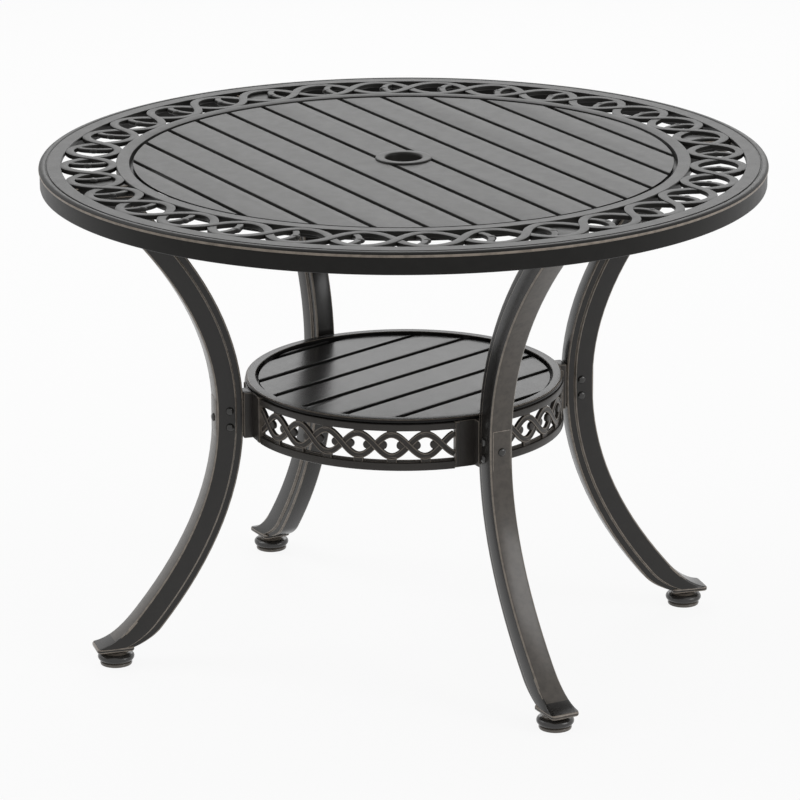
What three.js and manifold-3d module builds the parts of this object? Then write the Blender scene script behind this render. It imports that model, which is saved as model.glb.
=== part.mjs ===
// Round cast-aluminium patio table with an umbrella hole, a pierced border and a round lower shelf.
// Millimetres, +Z up. The origin is on the floor under the centre of the top, and +X points
// midway between the two legs that stand closer together.
import * as THREE from 'three';
import { mergeGeometries, mergeVertices } from 'three/addons/utils/BufferGeometryUtils.js';
import Module from 'manifold-3d';

const wasm = await Module();
wasm.setup();

// Overall sizes
const topDiameter = 1066.8;
const tableHeight = 740;
const shelfHeight = 411;
const seatGap = 0.3;
const cutOverrun = 2;

// Leg layout: the legs stand on a rectangle, so two gaps between them are narrow and two are wide
const narrowLegAngle = THREE.MathUtils.degToRad(78);
const legAzimuths = {
  front_right: -narrowLegAngle / 2,
  back_right: narrowLegAngle / 2,
  back_left: Math.PI - narrowLegAngle / 2,
  front_left: Math.PI + narrowLegAngle / 2,
};

// Cast frame of the top
const beadWidth = 6.4;
const beadHeight = 8;
const beadCrownShares = [0.3, 0.14];
const rimHeight = 32;
const rimWall = 4;
const rimInset = 0.8;
const outerBandWidth = 32.4;
const latticeWidth = 81;
const innerRingWidth = 19;
const innerRingHeight = 14;
const latticeThickness = 6.5;
const slatLedgeWidth = 15;
const slatLedgeThickness = 3;
const topEyeCount = 32;
const topEyeAzimuth = THREE.MathUtils.degToRad(4.5);
const topStrandWidth = 11.5;
const topEyeLength = 67;
const eyeBarWidth = 5.5;
const eyeBarBow = 14;
const eyeBarOffset = 9;
const strandSink = 1;
const topEyeSteps = 2;
const topBarSteps = 2;

// Slats of the top and the two battens under them
const topSlatGap = 3;
const topSlatRecess = 1;
const topPanelGap = 3;
const topSlatCount = 13;
const topEdgeSlatShare = 0.5625;
const slatSkin = 2.5;
const slatLip = 2.2;
const battenWidth = 25;
const battenThickness = 4;
const topBattenOffset = 150;
const topSlatAzimuth = -narrowLegAngle / 2;

// Umbrella flange
const umbrellaHoleMargin = 5.4;
const collarWall = 1.7;
const collarHeight = 15;
const flangeOverhang = 15;
const flangeHeight = 2.5;
const flangeEdge = 1.2;
const holeChamfer = 2.4;

// Leg section and curve
const legWidth = 37;
const legDepth = 41;
const legChamfer = 3.6;
const legBodyDepth = 28.5;
const legSpineWidth = 30.4;
const legStepDrop = 1.1;
const legTopInset = 25.5;
const legNeck = 13;
const waistRise = 14;
const ankleHeight = 80;
const ankleInset = 12;
const padHeight = 64;
const padProud = 1.2;
const lugWidth = 48;
const lugDrop = 22;
const lugOverlap = 4;
const legFlangeReach = 40.6;
const legFlangeThickness = 7;

// Shoe and levelling foot
const shoeInset = 109.4;
const shoeLength = 56;
const shoeWidth = 45;
const shoeCorner = 6;
const shoeLipThickness = 7;
const shoeBottom = 24;
const shoeFlareShare = 0.9;
const shoeOuterShares = [[1, 1], [0.8, 0.88], [0.54, 0.7], [0.27, 0.41]];
const shoeInnerShares = [[1, 1], [0.83, 0.87], [0.58, 0.64], [0.29, 0.34]];
const footRadialOffset = 24;
const footBunRadius = 27.2;
const footBunHeight = 21;
const footShares = [[0.86, 0], [0.78, 0.24], [1, 0.52], [0.9, 0.85], [0.62, 1]];
const studRadius = 4;
const studLength = 17.7;

// Shelf ring and slats
const shelfRingInset = 1.2;
const shelfRingWidth = 15.3;
const shelfRingThickness = 5;
const shelfRingEdge = 1.5;
const shelfWebThickness = 3;
const shelfSlatRecess = 4.5;
const shelfSlatHeight = 8;
const shelfLedgeWidth = 15;
const shelfLedgeThickness = 3;
const shelfPanelGap = 4.3;
const shelfSlatGap = 6;
const shelfSlatCount = 8;
const shelfEdgeSlatShare = 1.673;
const shelfBattenOffset = 95;
const shelfSlatAzimuth = THREE.MathUtils.degToRad(69);

// Pierced apron under the shelf ring, and the brackets that join it to the legs
const apronRadius = 237.5;
const apronRailDepth = 9.5;
const apronDrop = 7;
const apronHeight = 70;
const apronTopRail = 10;
const apronBottomRail = 15;
const apronLatticeInset = 1.5;
const apronLatticeThickness = 6.5;
const apronPitchAngle = THREE.MathUtils.degToRad(12);
const firstEyeAngle = THREE.MathUtils.degToRad(21);
const apronStrandWidth = 7.5;
const apronWaveHeight = 33;
const apronCrossingWidth = 13.2;
const apronCornerWidth = 26;
const apronBossRadius = 6;
const apronWaist = 9;
const apronShoulderShare = 0.62;
const bracketHalfAngle = THREE.MathUtils.degToRad(10.5);
const bracketThickness = 9;
const bracketRidgeWidth = 6;
const bracketRidgeProud = 2;
const neckWidth = 28;
const tongueWidth = 26;
const tongueHeight = 48;
const tongueLength = 34;

// Fasteners
const boltRadius = 3;
const boltHeadRadius = 6;
const boltHeadHeight = 3.2;
const boltDomeShare = 0.75;
const boltSpacing = 25;
const boltDepth = 19;
const radialBoltLength = 26;
const topBoltRadius = 4;
const topBoltHeadRadius = 7;
const topBoltInset = 12;
const topBoltGrip = 8;

// Facets
const topSegments = 40;
const shelfSegments = 32;
const collarSegments = 16;
const footSegments = 10;
const boltSegments = 6;
const panelArcSteps = 2;
const lowerLegSteps = 4;
const upperLegSteps = 5;
const shareTolerance = 1e-6;

// Places that follow from the sizes above
const topRadius = topDiameter / 2;
const latticeOuter = topRadius - outerBandWidth;
const latticeInner = latticeOuter - latticeWidth;
const innerRingInner = latticeInner - innerRingWidth;
const ledgeInner = innerRingInner - slatLedgeWidth;
const topPanelRadius = innerRingInner - topPanelGap;
const topSlatPitch = (2 * topPanelRadius) / (topSlatCount - topEdgeSlatShare);
const umbrellaHoleRadius = topSlatPitch / 2 - umbrellaHoleMargin;
const flangeRadius = umbrellaHoleRadius + flangeOverhang;
const shelfRadius = apronRadius - shelfRingInset;
const shelfPanelRadius = shelfRadius - shelfRingWidth - shelfPanelGap;
const shelfSlatPitch = (2 * shelfPanelRadius) / (shelfSlatCount - shelfEdgeSlatShare);
const topLedgeHeight = tableHeight - innerRingHeight + slatLedgeThickness;
const legTopHeight = tableHeight - lugDrop - seatGap;
const apronTop = shelfHeight - apronDrop;
const apronBottom = apronTop - apronHeight;
const bracketTop = shelfHeight - shelfRingThickness - seatGap;
const bracketMiddle = apronBottom + apronHeight / 2;
const waistRadius = apronRadius + legNeck + legDepth;
const legTopRadius = latticeOuter - legTopInset;
const shoeRadius = topRadius - shoeInset;
const ankleRadius = shoeRadius - ankleInset;
const footRadius = shoeRadius + footRadialOffset;
const boltCircleRadius = waistRadius - boltDepth;

// A leg leans out at its head, and its flange and the lug above it reach in past its inner face
const upperBowStart = bracketMiddle + waistRise;
const headSlope = (2 * (legTopRadius - waistRadius)) / (legTopHeight - upperBowStart);
const legHeadInner = legTopRadius - legDepth * Math.hypot(1, headSlope);
const lugInner = legHeadInner - legFlangeReach;
const topBoltPlace = lugInner + topBoltInset;

// Solids from triangles and back
function toSolid(geometry) {
  const bare = geometry.clone();
  for (const name of Object.keys(bare.attributes)) {
    if (name !== 'position') {
      bare.deleteAttribute(name);
    }
  }
  const weldDistance = seatGap / 1000;
  const merged = mergeVertices(bare, weldDistance);
  const vertProperties = new Float32Array(merged.attributes.position.array);
  const corners = Array.from(merged.index.array);
  const kept = [];
  for (let i = 0; i < corners.length; i += 3) {
    const [a, b, c] = corners.slice(i, i + 3);
    if (a !== b && b !== c && c !== a) {
      kept.push([a, b, c]);
    }
  }
  const inside = kept.reduce((sum, [a, b, c]) => {
    const [p, q, r] = [a, b, c].map((n) => new THREE.Vector3().fromArray(vertProperties, n * 3));
    return sum + p.dot(q.cross(r));
  }, 0) < 0;
  const triVerts = new Uint32Array(kept.flatMap(([a, b, c]) => (inside ? [a, c, b] : [a, b, c])));
  return new wasm.Manifold(new wasm.Mesh({ numProp: 3, vertProperties, triVerts }));
}

function toGeometry(solid) {
  const mesh = solid.getMesh();
  const geometry = new THREE.BufferGeometry();
  geometry.setAttribute('position', new THREE.BufferAttribute(new Float32Array(mesh.vertProperties), 3));
  geometry.setIndex(new THREE.BufferAttribute(new Uint32Array(mesh.triVerts), 1));
  return geometry;
}

// A ring or knob turned round the Z axis from [radius, height] points
function turned(profile, segments) {
  const points = profile.map(([radius, height]) => new THREE.Vector2(radius, height));
  return new THREE.LatheGeometry(points, segments).rotateX(Math.PI / 2);
}

function turnedRing(profile, segments) {
  return turned([...profile, profile[0]], segments);
}

// An upright prism on an outline of [x, y] points
function prism(outline, low, high) {
  const shape = new THREE.Shape(outline.map(([x, y]) => new THREE.Vector2(x, y)));
  const geometry = new THREE.ExtrudeGeometry(shape, { depth: high - low, bevelEnabled: false });
  return geometry.translate(0, 0, low);
}

function block([x0, x1], [y0, y1], [z0, z1]) {
  const geometry = new THREE.BoxGeometry(x1 - x0, y1 - y0, z1 - z0);
  return geometry.translate((x0 + x1) / 2, (y0 + y1) / 2, (z0 + z1) / 2);
}

// A cutter along Y for a hole that clears a shank all round, facets included
function bore(shankRadius, length) {
  const radius = (shankRadius + seatGap) / Math.cos(Math.PI / boltSegments);
  return new THREE.CylinderGeometry(radius, radius, length, boltSegments);
}

// A skin over matching rings of points, closed at both ends
function loft(rings) {
  const count = rings[0].length;
  const last = rings.length - 1;
  const middle = (ring) => ring.reduce((sum, p) => sum.add(p), new THREE.Vector3()).divideScalar(count);
  const points = [...rings.flat(), middle(rings[0]), middle(rings[last])];
  const startPole = rings.length * count;
  const faces = [];
  for (let k = 0; k < count; k += 1) {
    const next = (k + 1) % count;
    for (let ring = 0; ring < last; ring += 1) {
      const low = ring * count;
      const high = low + count;
      faces.push(low + k, low + next, high + next, low + k, high + next, high + k);
    }
    faces.push(startPole, next, k);
    faces.push(startPole + 1, last * count + k, last * count + next);
  }
  const geometry = new THREE.BufferGeometry().setFromPoints(points);
  geometry.setIndex(faces);
  return geometry;
}

// Moves every point of a flat piece to where the mapping puts it on a curve
function bend(geometry, mapping) {
  const position = geometry.attributes.position;
  for (let i = 0; i < position.count; i += 1) {
    const [x, y, z] = mapping(position.getX(i), position.getY(i), position.getZ(i));
    position.setXYZ(i, x, y, z);
  }
  return geometry;
}

// Interlaced strands: two mirrored waves whose crossings lie half a pitch either side of an eye.
// The edge of a strand lies half its width off the wave, and share 0 is the wave's crest.
function strandEdge(wave, halfWidth, share) {
  const phase = Math.PI * share;
  const slope = -(wave.height / 2) * (Math.PI / wave.pitch) * Math.sin(phase);
  const reach = halfWidth / Math.hypot(1, slope);
  return [wave.pitch * share - slope * reach, (wave.height / 2) * Math.cos(phase) + reach];
}

// The share at which a rising test first holds, found by halving
function shareWhere(test) {
  let low = 0;
  let high = 0.5;
  while (high - low > shareTolerance) {
    const middle = (low + high) / 2;
    if (test(middle)) {
      high = middle;
    } else {
      low = middle;
    }
  }
  return high;
}

// The opening inside an eye, with its tips cut off where it is longer than its length
function eyeOutline(wave, strandWidth, length, steps) {
  const edge = (share) => strandEdge(wave, -strandWidth / 2, share);
  const end = shareWhere((share) => edge(share)[0] > length / 2 || edge(share)[1] < 0);
  const half = [];
  for (let k = -steps; k <= steps; k += 1) {
    const [x, y] = edge(Math.abs(end * k) / steps);
    half.push([Math.sign(k) * x, y]);
  }
  return [...half, ...half.map(([x, y]) => [x, -y]).reverse()];
}

// Sides of the three-cornered opening between a crossing and the rail above it, from left to right
function cornerSides(wave, crossingWidth, railHeight, width, steps) {
  const edge = (share) => strandEdge(wave, crossingWidth / 2, share);
  const sideReach = (wave.pitch - width) / 2;
  const start = shareWhere((share) => edge(share)[1] < railHeight && edge(share)[0] > sideReach);
  const end = shareWhere((share) => edge(share)[0] > wave.pitch / 2);
  const side = [];
  for (let k = 0; k < steps; k += 1) {
    side.push(edge(start + ((end - start) * k) / steps));
  }
  const mirrored = side.map(([x, y]) => [wave.pitch - x, y]).reverse();
  return [...side, [wave.pitch / 2, edge(end)[1]], ...mirrored];
}

// Top frame: rim, band, pierced border, inner ring and slat ledge in one casting, with a lug at each leg
function topFrame() {
  const wallOuter = topRadius - rimInset;
  const underside = tableHeight - latticeThickness;
  const ring = toSolid(turnedRing([
    [ledgeInner, tableHeight - innerRingHeight],
    [ledgeInner, topLedgeHeight],
    [innerRingInner, topLedgeHeight],
    [innerRingInner, tableHeight],
    [topRadius - beadWidth, tableHeight],
    [topRadius - beadWidth * beadCrownShares[0], tableHeight - beadHeight * beadCrownShares[1]],
    [topRadius, tableHeight - beadHeight / 2],
    [wallOuter, tableHeight - beadHeight],
    [wallOuter, tableHeight - rimHeight],
    [wallOuter - rimWall, tableHeight - rimHeight],
    [wallOuter - rimWall, underside],
    [latticeInner - strandSink, underside],
    [latticeInner - strandSink, tableHeight - innerRingHeight],
  ], topSegments));
  const middleRadius = (latticeInner + latticeOuter) / 2;
  const pitch = (2 * Math.PI * middleRadius) / topEyeCount;
  const wave = { pitch, height: latticeWidth - topStrandWidth + 2 * strandSink };
  const depth = [-latticeThickness - cutOverrun, cutOverrun];
  const eye = toSolid(prism(eyeOutline(wave, topStrandWidth, topEyeLength, topEyeSteps), ...depth));
  const reach = latticeWidth / 2;
  const barSide = (offset) => Array.from({ length: topBarSteps + 1 }, (unused, k) => {
    const share = (2 * k) / topBarSteps - 1;
    return [eyeBarBow * (1 - share * share) - eyeBarOffset + offset, share * reach];
  });
  const barOutline = [...barSide(eyeBarWidth / 2), ...barSide(-eyeBarWidth / 2).reverse()];
  const bar = toSolid(prism(barOutline, depth[0] - cutOverrun, depth[1] + cutOverrun));
  const corner = [...cornerSides(wave, topStrandWidth, reach, pitch, 1), [pitch / 2, reach]];
  const under = corner.map(([x, y]) => [x, -y]).reverse();
  const cell = [toGeometry(eye.subtract(bar)), prism(corner, ...depth), prism(under, ...depth)];
  const cuts = [];
  for (let k = 0; k < topEyeCount; k += 1) {
    const azimuth = topEyeAzimuth + (2 * Math.PI * k) / topEyeCount;
    for (const piece of cell) {
      cuts.push(bend(toPlain(piece), (x, y, z) => {
        const angle = azimuth + x / middleRadius;
        const radius = middleRadius + y;
        return [radius * Math.cos(angle), radius * Math.sin(angle), tableHeight + z];
      }));
    }
  }
  const lugs = Object.values(legAzimuths).map((azimuth) => topLug().rotateZ(azimuth));
  const bores = Object.values(legAzimuths).map((azimuth) => topBoltBore().rotateZ(azimuth));
  const pierced = ring.subtract(toSolid(mergeGeometries(cuts)));
  const whole = lugs.reduce((frame, lug) => frame.add(toSolid(lug)), pierced);
  return toGeometry(bores.reduce((frame, bore) => frame.subtract(toSolid(bore)), whole));
}

// Position and faces only, so that pieces of different kinds can be merged
function toPlain(geometry) {
  const plain = new THREE.BufferGeometry();
  const flat = geometry.index ? geometry.toNonIndexed() : geometry;
  plain.setAttribute('position', flat.attributes.position.clone());
  return plain;
}

// A leg is fastened under a lug that bridges the pierced border, seen along the leg's own +X
function topLug() {
  const outer = latticeOuter + lugOverlap;
  const low = tableHeight - lugDrop;
  const foot = tableHeight - innerRingHeight + slatLedgeThickness / 2;
  const crown = tableHeight - latticeThickness / 2;
  const inner = latticeInner - innerRingWidth / 4;
  const below = [[lugInner, low], [outer, low]];
  const above = [[outer, crown], [inner, crown], [inner, foot], [lugInner, foot]];
  return prism([...below, ...above], -lugWidth / 2, lugWidth / 2).rotateX(Math.PI / 2);
}

function topBoltBore() {
  const cutter = bore(topBoltRadius, topBoltGrip * 2).rotateX(Math.PI / 2);
  return cutter.translate(topBoltPlace, 0, tableHeight - lugDrop);
}

// Slats are pressed channels, skin up, cut to the round of their panel
function slat(offset, { pitch, gap, radius, top, height, hole }) {
  const half = (pitch - gap) / 2;
  const low = -height;
  const channel = [
    [-half, low], [-half, 0], [half, 0], [half, low],
    [half - slatLip, low], [half - slatLip, -slatSkin],
    [slatLip - half, -slatSkin], [slatLip - half, low],
  ];
  const length = 2 * radius;
  const bar = prism(channel, -length / 2, length / 2).rotateX(Math.PI / 2).rotateZ(Math.PI / 2);
  const placed = toSolid(bar.translate(0, offset, top));
  const reach = Math.sqrt(Math.max(0, radius * radius - (Math.abs(offset) - half) ** 2));
  const swing = Math.atan2(reach, Math.abs(offset) - half);
  const far = Math.min(1, (Math.abs(offset) + half) / radius);
  const spread = Math.acos(far);
  const outline = [];
  const side = Math.sign(offset) || 1;
  for (let k = 0; k <= panelArcSteps; k += 1) {
    const angle = spread + ((swing - spread) * k) / panelArcSteps;
    outline.push([radius * Math.sin(angle), side * radius * Math.cos(angle)]);
  }
  const mirrored = outline.map(([x, y]) => [-x, y]).reverse();
  const distinct = far < 1 ? mirrored : mirrored.slice(0, -1);
  const cutter = toSolid(prism([...outline, ...distinct], top - height - cutOverrun, top + cutOverrun));
  const cut = placed.intersect(cutter);
  return toGeometry(hole ? cut.subtract(toSolid(hole)) : cut);
}

function slatOffsets(count, pitch) {
  return Array.from({ length: count }, (unused, k) => (k - (count - 1) / 2) * pitch);
}

// Radius of the round that just fits inside a faceted one
function insideFacets(radius, segments) {
  return radius * Math.cos(Math.PI / segments);
}

function batten(offset, radius, top) {
  const half = Math.sqrt(radius * radius - (Math.abs(offset) + battenWidth / 2) ** 2);
  const across = [offset - battenWidth / 2, offset + battenWidth / 2];
  return block(across, [-half, half], [top - battenThickness, top]);
}

function umbrellaFlange() {
  const seat = tableHeight - topSlatRecess + seatGap;
  const crown = tableHeight - topSlatRecess + flangeHeight;
  const collarOuter = umbrellaHoleRadius + collarWall;
  return turnedRing([
    [umbrellaHoleRadius, seat - collarHeight],
    [collarOuter, seat - collarHeight],
    [collarOuter, seat],
    [flangeRadius, seat],
    [flangeRadius, crown - flangeEdge],
    [flangeRadius - flangeEdge, crown],
    [umbrellaHoleRadius + holeChamfer, crown],
    [umbrellaHoleRadius, crown - holeChamfer],
  ], collarSegments);
}

// Outer face of a leg: one bow from the waist up to the top, another from the waist down to the ankle
function legFace(height) {
  const upper = height > upperBowStart;
  const start = upper ? upperBowStart : bracketMiddle;
  const [endHeight, endRadius] = upper ? [legTopHeight, legTopRadius] : [ankleHeight, ankleRadius];
  const rise = height - start;
  if (height >= bracketMiddle && !upper) {
    return { radius: waistRadius, slope: 0 };
  }
  const bow = (endHeight - start) ** 2 / (endRadius - waistRadius);
  return { radius: waistRadius + rise ** 2 / bow, slope: (2 * rise) / bow };
}

// A station holds the outer and inner ends of the section line as [radius, height], and the width
function legStation(height) {
  const { radius, slope } = legFace(height);
  const across = legDepth / Math.hypot(1, slope);
  return { outer: [radius, height], inner: [radius - across, height + across * slope], width: legWidth };
}

function shoeStations() {
  const ankle = legStation(ankleHeight);
  const sole = shoeBottom + shoeLipThickness;
  const toe = [shoeRadius + shoeLength - cutOverrun, sole];
  const heel = [shoeRadius + cutOverrun, sole - shoeLipThickness / 2];
  const between = (start, end, shares) => start.map((value, k) => value + (end[k] - value) * shares[k]);
  return shoeOuterShares.map((outerShares, k) => ({
    outer: between(ankle.outer, toe, outerShares),
    inner: between(ankle.inner, heel, shoeInnerShares[k]),
    width: legWidth + (shoeWidth - legWidth) * shoeFlareShare * outerShares[0] ** 2,
  }));
}

function legRing({ outer, inner, width }) {
  const half = [
    [legWidth / 2 - legChamfer, 0],
    [legWidth / 2, legChamfer],
    [legWidth / 2, legBodyDepth],
    [legSpineWidth / 2, legBodyDepth + legStepDrop],
    [legSpineWidth / 2, legDepth],
  ];
  const outline = [...half, ...half.map(([side, depth]) => [-side, depth]).reverse()];
  return outline.map(([side, depth]) => new THREE.Vector3(
    outer[0] + ((inner[0] - outer[0]) * depth) / legDepth,
    (side * width) / legWidth,
    outer[1] + ((inner[1] - outer[1]) * depth) / legDepth,
  ));
}

function roundedOutline([x0, x1], [y0, y1], corner) {
  const centres = [[x1 - corner, y1 - corner, 0], [x0 + corner, y1 - corner, 1],
    [x0 + corner, y0 + corner, 2], [x1 - corner, y0 + corner, 3]];
  return centres.flatMap(([x, y, quarter]) => [0, 0.5, 1].map((share) => {
    const angle = ((quarter + share) * Math.PI) / 2;
    return [x + corner * Math.cos(angle), y + corner * Math.sin(angle)];
  }));
}

function leg() {
  const heights = [];
  for (let k = 0; k <= lowerLegSteps; k += 1) {
    heights.push(ankleHeight + ((bracketMiddle - ankleHeight) * k) / lowerLegSteps);
  }
  for (let k = 0; k <= upperLegSteps; k += 1) {
    heights.push(upperBowStart + ((legTopHeight - upperBowStart) * k) / upperLegSteps);
  }
  const body = toSolid(loft([...shoeStations(), ...heights.map(legStation)].map(legRing)));
  const shoeSpan = [shoeRadius, shoeRadius + shoeLength];
  const lip = prism(roundedOutline(shoeSpan, [-shoeWidth / 2, shoeWidth / 2], shoeCorner), shoeBottom,
    shoeBottom + shoeLipThickness);
  const pad = block([waistRadius - legDepth / 2, waistRadius + padProud],
    [legChamfer - legWidth / 2, legWidth / 2 - legChamfer],
    [bracketMiddle - padHeight / 2, bracketMiddle + padHeight / 2]);
  const flange = block([lugInner, legHeadInner + legDepth / 2], [-legWidth / 2, legWidth / 2],
    [legTopHeight - legFlangeThickness, legTopHeight]);
  const above = block([lugInner, topRadius], [-legWidth, legWidth],
    [legTopHeight, legTopHeight + legDepth * 2]);
  const mortiseEnd = waistRadius - legDepth + tongueLength + seatGap - legNeck / 2;
  const mortise = block([waistRadius - legDepth - cutOverrun * 2, mortiseEnd],
    [-tongueWidth / 2 - seatGap, tongueWidth / 2 + seatGap],
    [bracketMiddle - tongueHeight / 2 - seatGap, bracketMiddle + tongueHeight / 2 + seatGap]);
  const sideHoles = [-1, 1].map((side) => bore(boltRadius, legWidth + 2 * cutOverrun)
    .translate(boltCircleRadius, 0, bracketMiddle + (side * boltSpacing) / 2));
  const radialHole = bore(boltRadius, legDepth).rotateZ(Math.PI / 2)
    .translate(waistRadius, 0, bracketMiddle);
  const flangeHole = bore(topBoltRadius, legFlangeThickness + 2 * cutOverrun)
    .rotateX(Math.PI / 2).translate(topBoltPlace, 0, legTopHeight - legFlangeThickness / 2);
  const studBore = bore(studRadius, 2 * (studLength - shoeBottom + footBunHeight + 2 * seatGap))
    .rotateX(Math.PI / 2).translate(footRadius, 0, shoeBottom);
  const joined = [lip, pad, flange].reduce((solid, piece) => solid.add(toSolid(piece)), body);
  const cuts = [above, mortise, ...sideHoles, radialHole, flangeHole, studBore];
  return toGeometry(cuts.reduce((solid, piece) => solid.subtract(toSolid(piece)), joined));
}

function levellingFoot() {
  const bun = footShares.map(([radius, height]) => [radius * footBunRadius, height * footBunHeight]);
  const studTop = footBunHeight + studLength;
  const stud = [[studRadius, footBunHeight], [studRadius, studTop], [0, studTop]];
  return turned([[0, 0], ...bun, ...stud], footSegments).translate(footRadius, 0, 0);
}

// Bolts lie along Z with the underside of the head on z = 0 and the shank below it
function domeBolt(radius, headRadius, length) {
  return turned([
    [0, -length],
    [radius, -length],
    [radius, 0],
    [headRadius, 0],
    [headRadius * boltDomeShare, boltHeadHeight * boltDomeShare],
    [0, boltHeadHeight],
  ], boltSegments);
}

// A through bolt has a dome at both ends, the second one being its cap nut
function throughBolt() {
  const half = legWidth / 2 + seatGap;
  const shoulder = [boltHeadRadius * boltDomeShare, half + boltHeadHeight * boltDomeShare];
  const dome = [shoulder, [boltHeadRadius, half], [boltRadius, half]];
  const lower = dome.map(([radius, height]) => [radius, -height]);
  const crown = half + boltHeadHeight;
  return turned([[0, -crown], ...lower, ...dome.reverse(), [0, crown]], boltSegments);
}

// Bracket: a curved plate in the line of the apron, with a neck and a tongue into the leg
function bracket() {
  const outer = apronRadius;
  const inner = outer - bracketThickness;
  const ridge = outer + bracketRidgeProud;
  const ridgeAngle = bracketHalfAngle - bracketRidgeWidth / outer;
  const at = (radius, angle) => [radius * Math.cos(angle), radius * Math.sin(angle)];
  const neckAngle = Math.asin(neckWidth / 2 / outer);
  const neckEnd = waistRadius - legDepth - seatGap;
  const side = [
    at(inner, 0), at(inner, bracketHalfAngle / 2), at(inner, bracketHalfAngle), at(ridge, bracketHalfAngle),
    at(ridge, ridgeAngle), at(outer, ridgeAngle), at(outer, neckAngle), [neckEnd, neckWidth / 2],
  ];
  const mirrored = side.slice(1).map(([x, y]) => [x, -y]).reverse();
  const plate = toSolid(prism([...side, ...mirrored], apronBottom + cutOverrun, bracketTop));
  const tongueEnd = waistRadius - legDepth + tongueLength - legNeck / 2;
  const tongue = block([outer, tongueEnd], [-tongueWidth / 2, tongueWidth / 2],
    [bracketMiddle - tongueHeight / 2, bracketMiddle + tongueHeight / 2]);
  const holes = [-1, 1].map((sign) => bore(boltRadius, tongueWidth + 2 * cutOverrun)
    .translate(boltCircleRadius, 0, bracketMiddle + (sign * boltSpacing) / 2));
  const radialHole = bore(boltRadius, 2 * (radialBoltLength - waistRadius + tongueEnd + cutOverrun))
    .rotateZ(Math.PI / 2).translate(tongueEnd, 0, bracketMiddle);
  const cuts = [...holes, radialHole];
  const joined = plate.add(toSolid(tongue));
  return toGeometry(cuts.reduce((solid, piece) => solid.subtract(toSolid(piece)), joined));
}

function shelfRing() {
  const inner = shelfRadius - shelfRingWidth;
  const web = inner + shelfWebThickness;
  const ledge = shelfHeight - shelfSlatRecess - shelfSlatHeight - seatGap;
  return turnedRing([
    [inner - shelfLedgeWidth, ledge - shelfLedgeThickness],
    [web, ledge - shelfLedgeThickness],
    [web, shelfHeight - shelfRingThickness],
    [shelfRadius, shelfHeight - shelfRingThickness],
    [shelfRadius, shelfHeight - shelfRingEdge],
    [shelfRadius - shelfRingEdge, shelfHeight],
    [inner, shelfHeight],
    [inner, ledge],
    [inner - shelfLedgeWidth, ledge],
  ], shelfSegments);
}

// A curved rail with a corner at each of its angles
function rail(angles, [innerRadius, outerRadius], [low, high]) {
  return loft(angles.map((angle) => {
    const [x, y] = [Math.cos(angle), Math.sin(angle)];
    const corner = (radius, height) => new THREE.Vector3(radius * x, radius * y, height);
    const outside = [corner(innerRadius, high), corner(outerRadius, high)];
    return [corner(outerRadius, low), corner(innerRadius, low), ...outside];
  }));
}

// The opening of an apron eye is drawn in to a waist by a round boss on either side
function waistedEye(wave) {
  const edge = (share) => strandEdge(wave, -apronStrandWidth / 2, share);
  const end = shareWhere((share) => edge(share)[1] < apronBossRadius);
  const shoulder = edge(end * apronShoulderShare);
  const hip = edge(end);
  const bossMiddle = apronWaist / 2 + apronBossRadius;
  const boss = (angle) => [bossMiddle - apronBossRadius * Math.cos(angle), apronBossRadius * Math.sin(angle)];
  const quarter = [shoulder, hip, boss(Math.PI / 4)];
  const right = [...quarter, boss(0), ...quarter.map(([x, y]) => [x, -y]).reverse()];
  const left = right.map(([x, y]) => [-x, y]).reverse();
  return [...right, ...left];
}

// Apron panel from bracket to bracket, with the interlaced band between two rails
function apronPanel(span) {
  const start = bracketHalfAngle + seatGap / apronRadius;
  const end = span - start;
  const eyes = Math.round((span - 2 * firstEyeAngle) / apronPitchAngle) + 1;
  const pitchAngle = (span - 2 * firstEyeAngle) / (eyes - 1);
  const wave = { pitch: pitchAngle * apronRadius, height: apronWaveHeight };
  const low = apronBottom + apronBottomRail;
  const high = apronTop - apronTopRail;
  const middle = (low + high) / 2;
  const halfBand = (high - low) / 2;
  const eyeAngles = Array.from({ length: eyes }, (unused, k) => firstEyeAngle + k * pitchAngle);
  const notch = cornerSides(wave, apronCrossingWidth, halfBand, apronCornerWidth, 1);
  const tucked = halfBand + apronLatticeInset;
  const notchEnds = [notch[0], notch[notch.length - 1]].map(([x]) => [x, tucked]);
  const upper = [[start * apronRadius, tucked]];
  for (const angle of [firstEyeAngle - pitchAngle, ...eyeAngles]) {
    const place = angle * apronRadius;
    upper.push(...[notchEnds[0], ...notch, notchEnds[1]].map(([x, y]) => [place + x, y]));
  }
  upper.push([end * apronRadius, tucked]);
  const outline = [...upper.map(([x, y]) => [x, -y]), ...upper.reverse()];
  const shape = new THREE.Shape(outline.map(([x, y]) => new THREE.Vector2(x, y)));
  for (const angle of eyeAngles) {
    const place = angle * apronRadius;
    const eye = waistedEye(wave).map(([x, y]) => new THREE.Vector2(place + x, y));
    shape.holes.push(new THREE.Path(eye));
  }
  const outer = apronRadius - apronLatticeInset;
  const flat = new THREE.ExtrudeGeometry(shape, { depth: apronLatticeThickness, bevelEnabled: false });
  const pierced = toSolid(bend(flat, (x, y, z) => {
    const angle = x / apronRadius;
    const radius = outer - z;
    return [radius * Math.cos(angle), radius * Math.sin(angle), middle + y];
  }));
  const depth = [apronRadius - apronRailDepth, apronRadius];
  const railTurns = [start, ...eyeAngles, end];
  const topRail = rail(railTurns, depth, [high, apronTop]);
  const bottomRail = rail(railTurns, depth, [apronBottom, low]);
  return toGeometry(pierced.add(toSolid(topRail)).add(toSolid(bottomRail)));
}

// Finishes
function finish(color, roughness, metalness) {
  return () => new THREE.MeshStandardMaterial({ color, roughness, metalness });
}

const textured = finish(0x6b6660, 0.62, 0.25);
const satin = finish(0x4a4744, 0.42, 0.3);
const dark = finish(0x3b3836, 0.5, 0.3);

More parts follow.
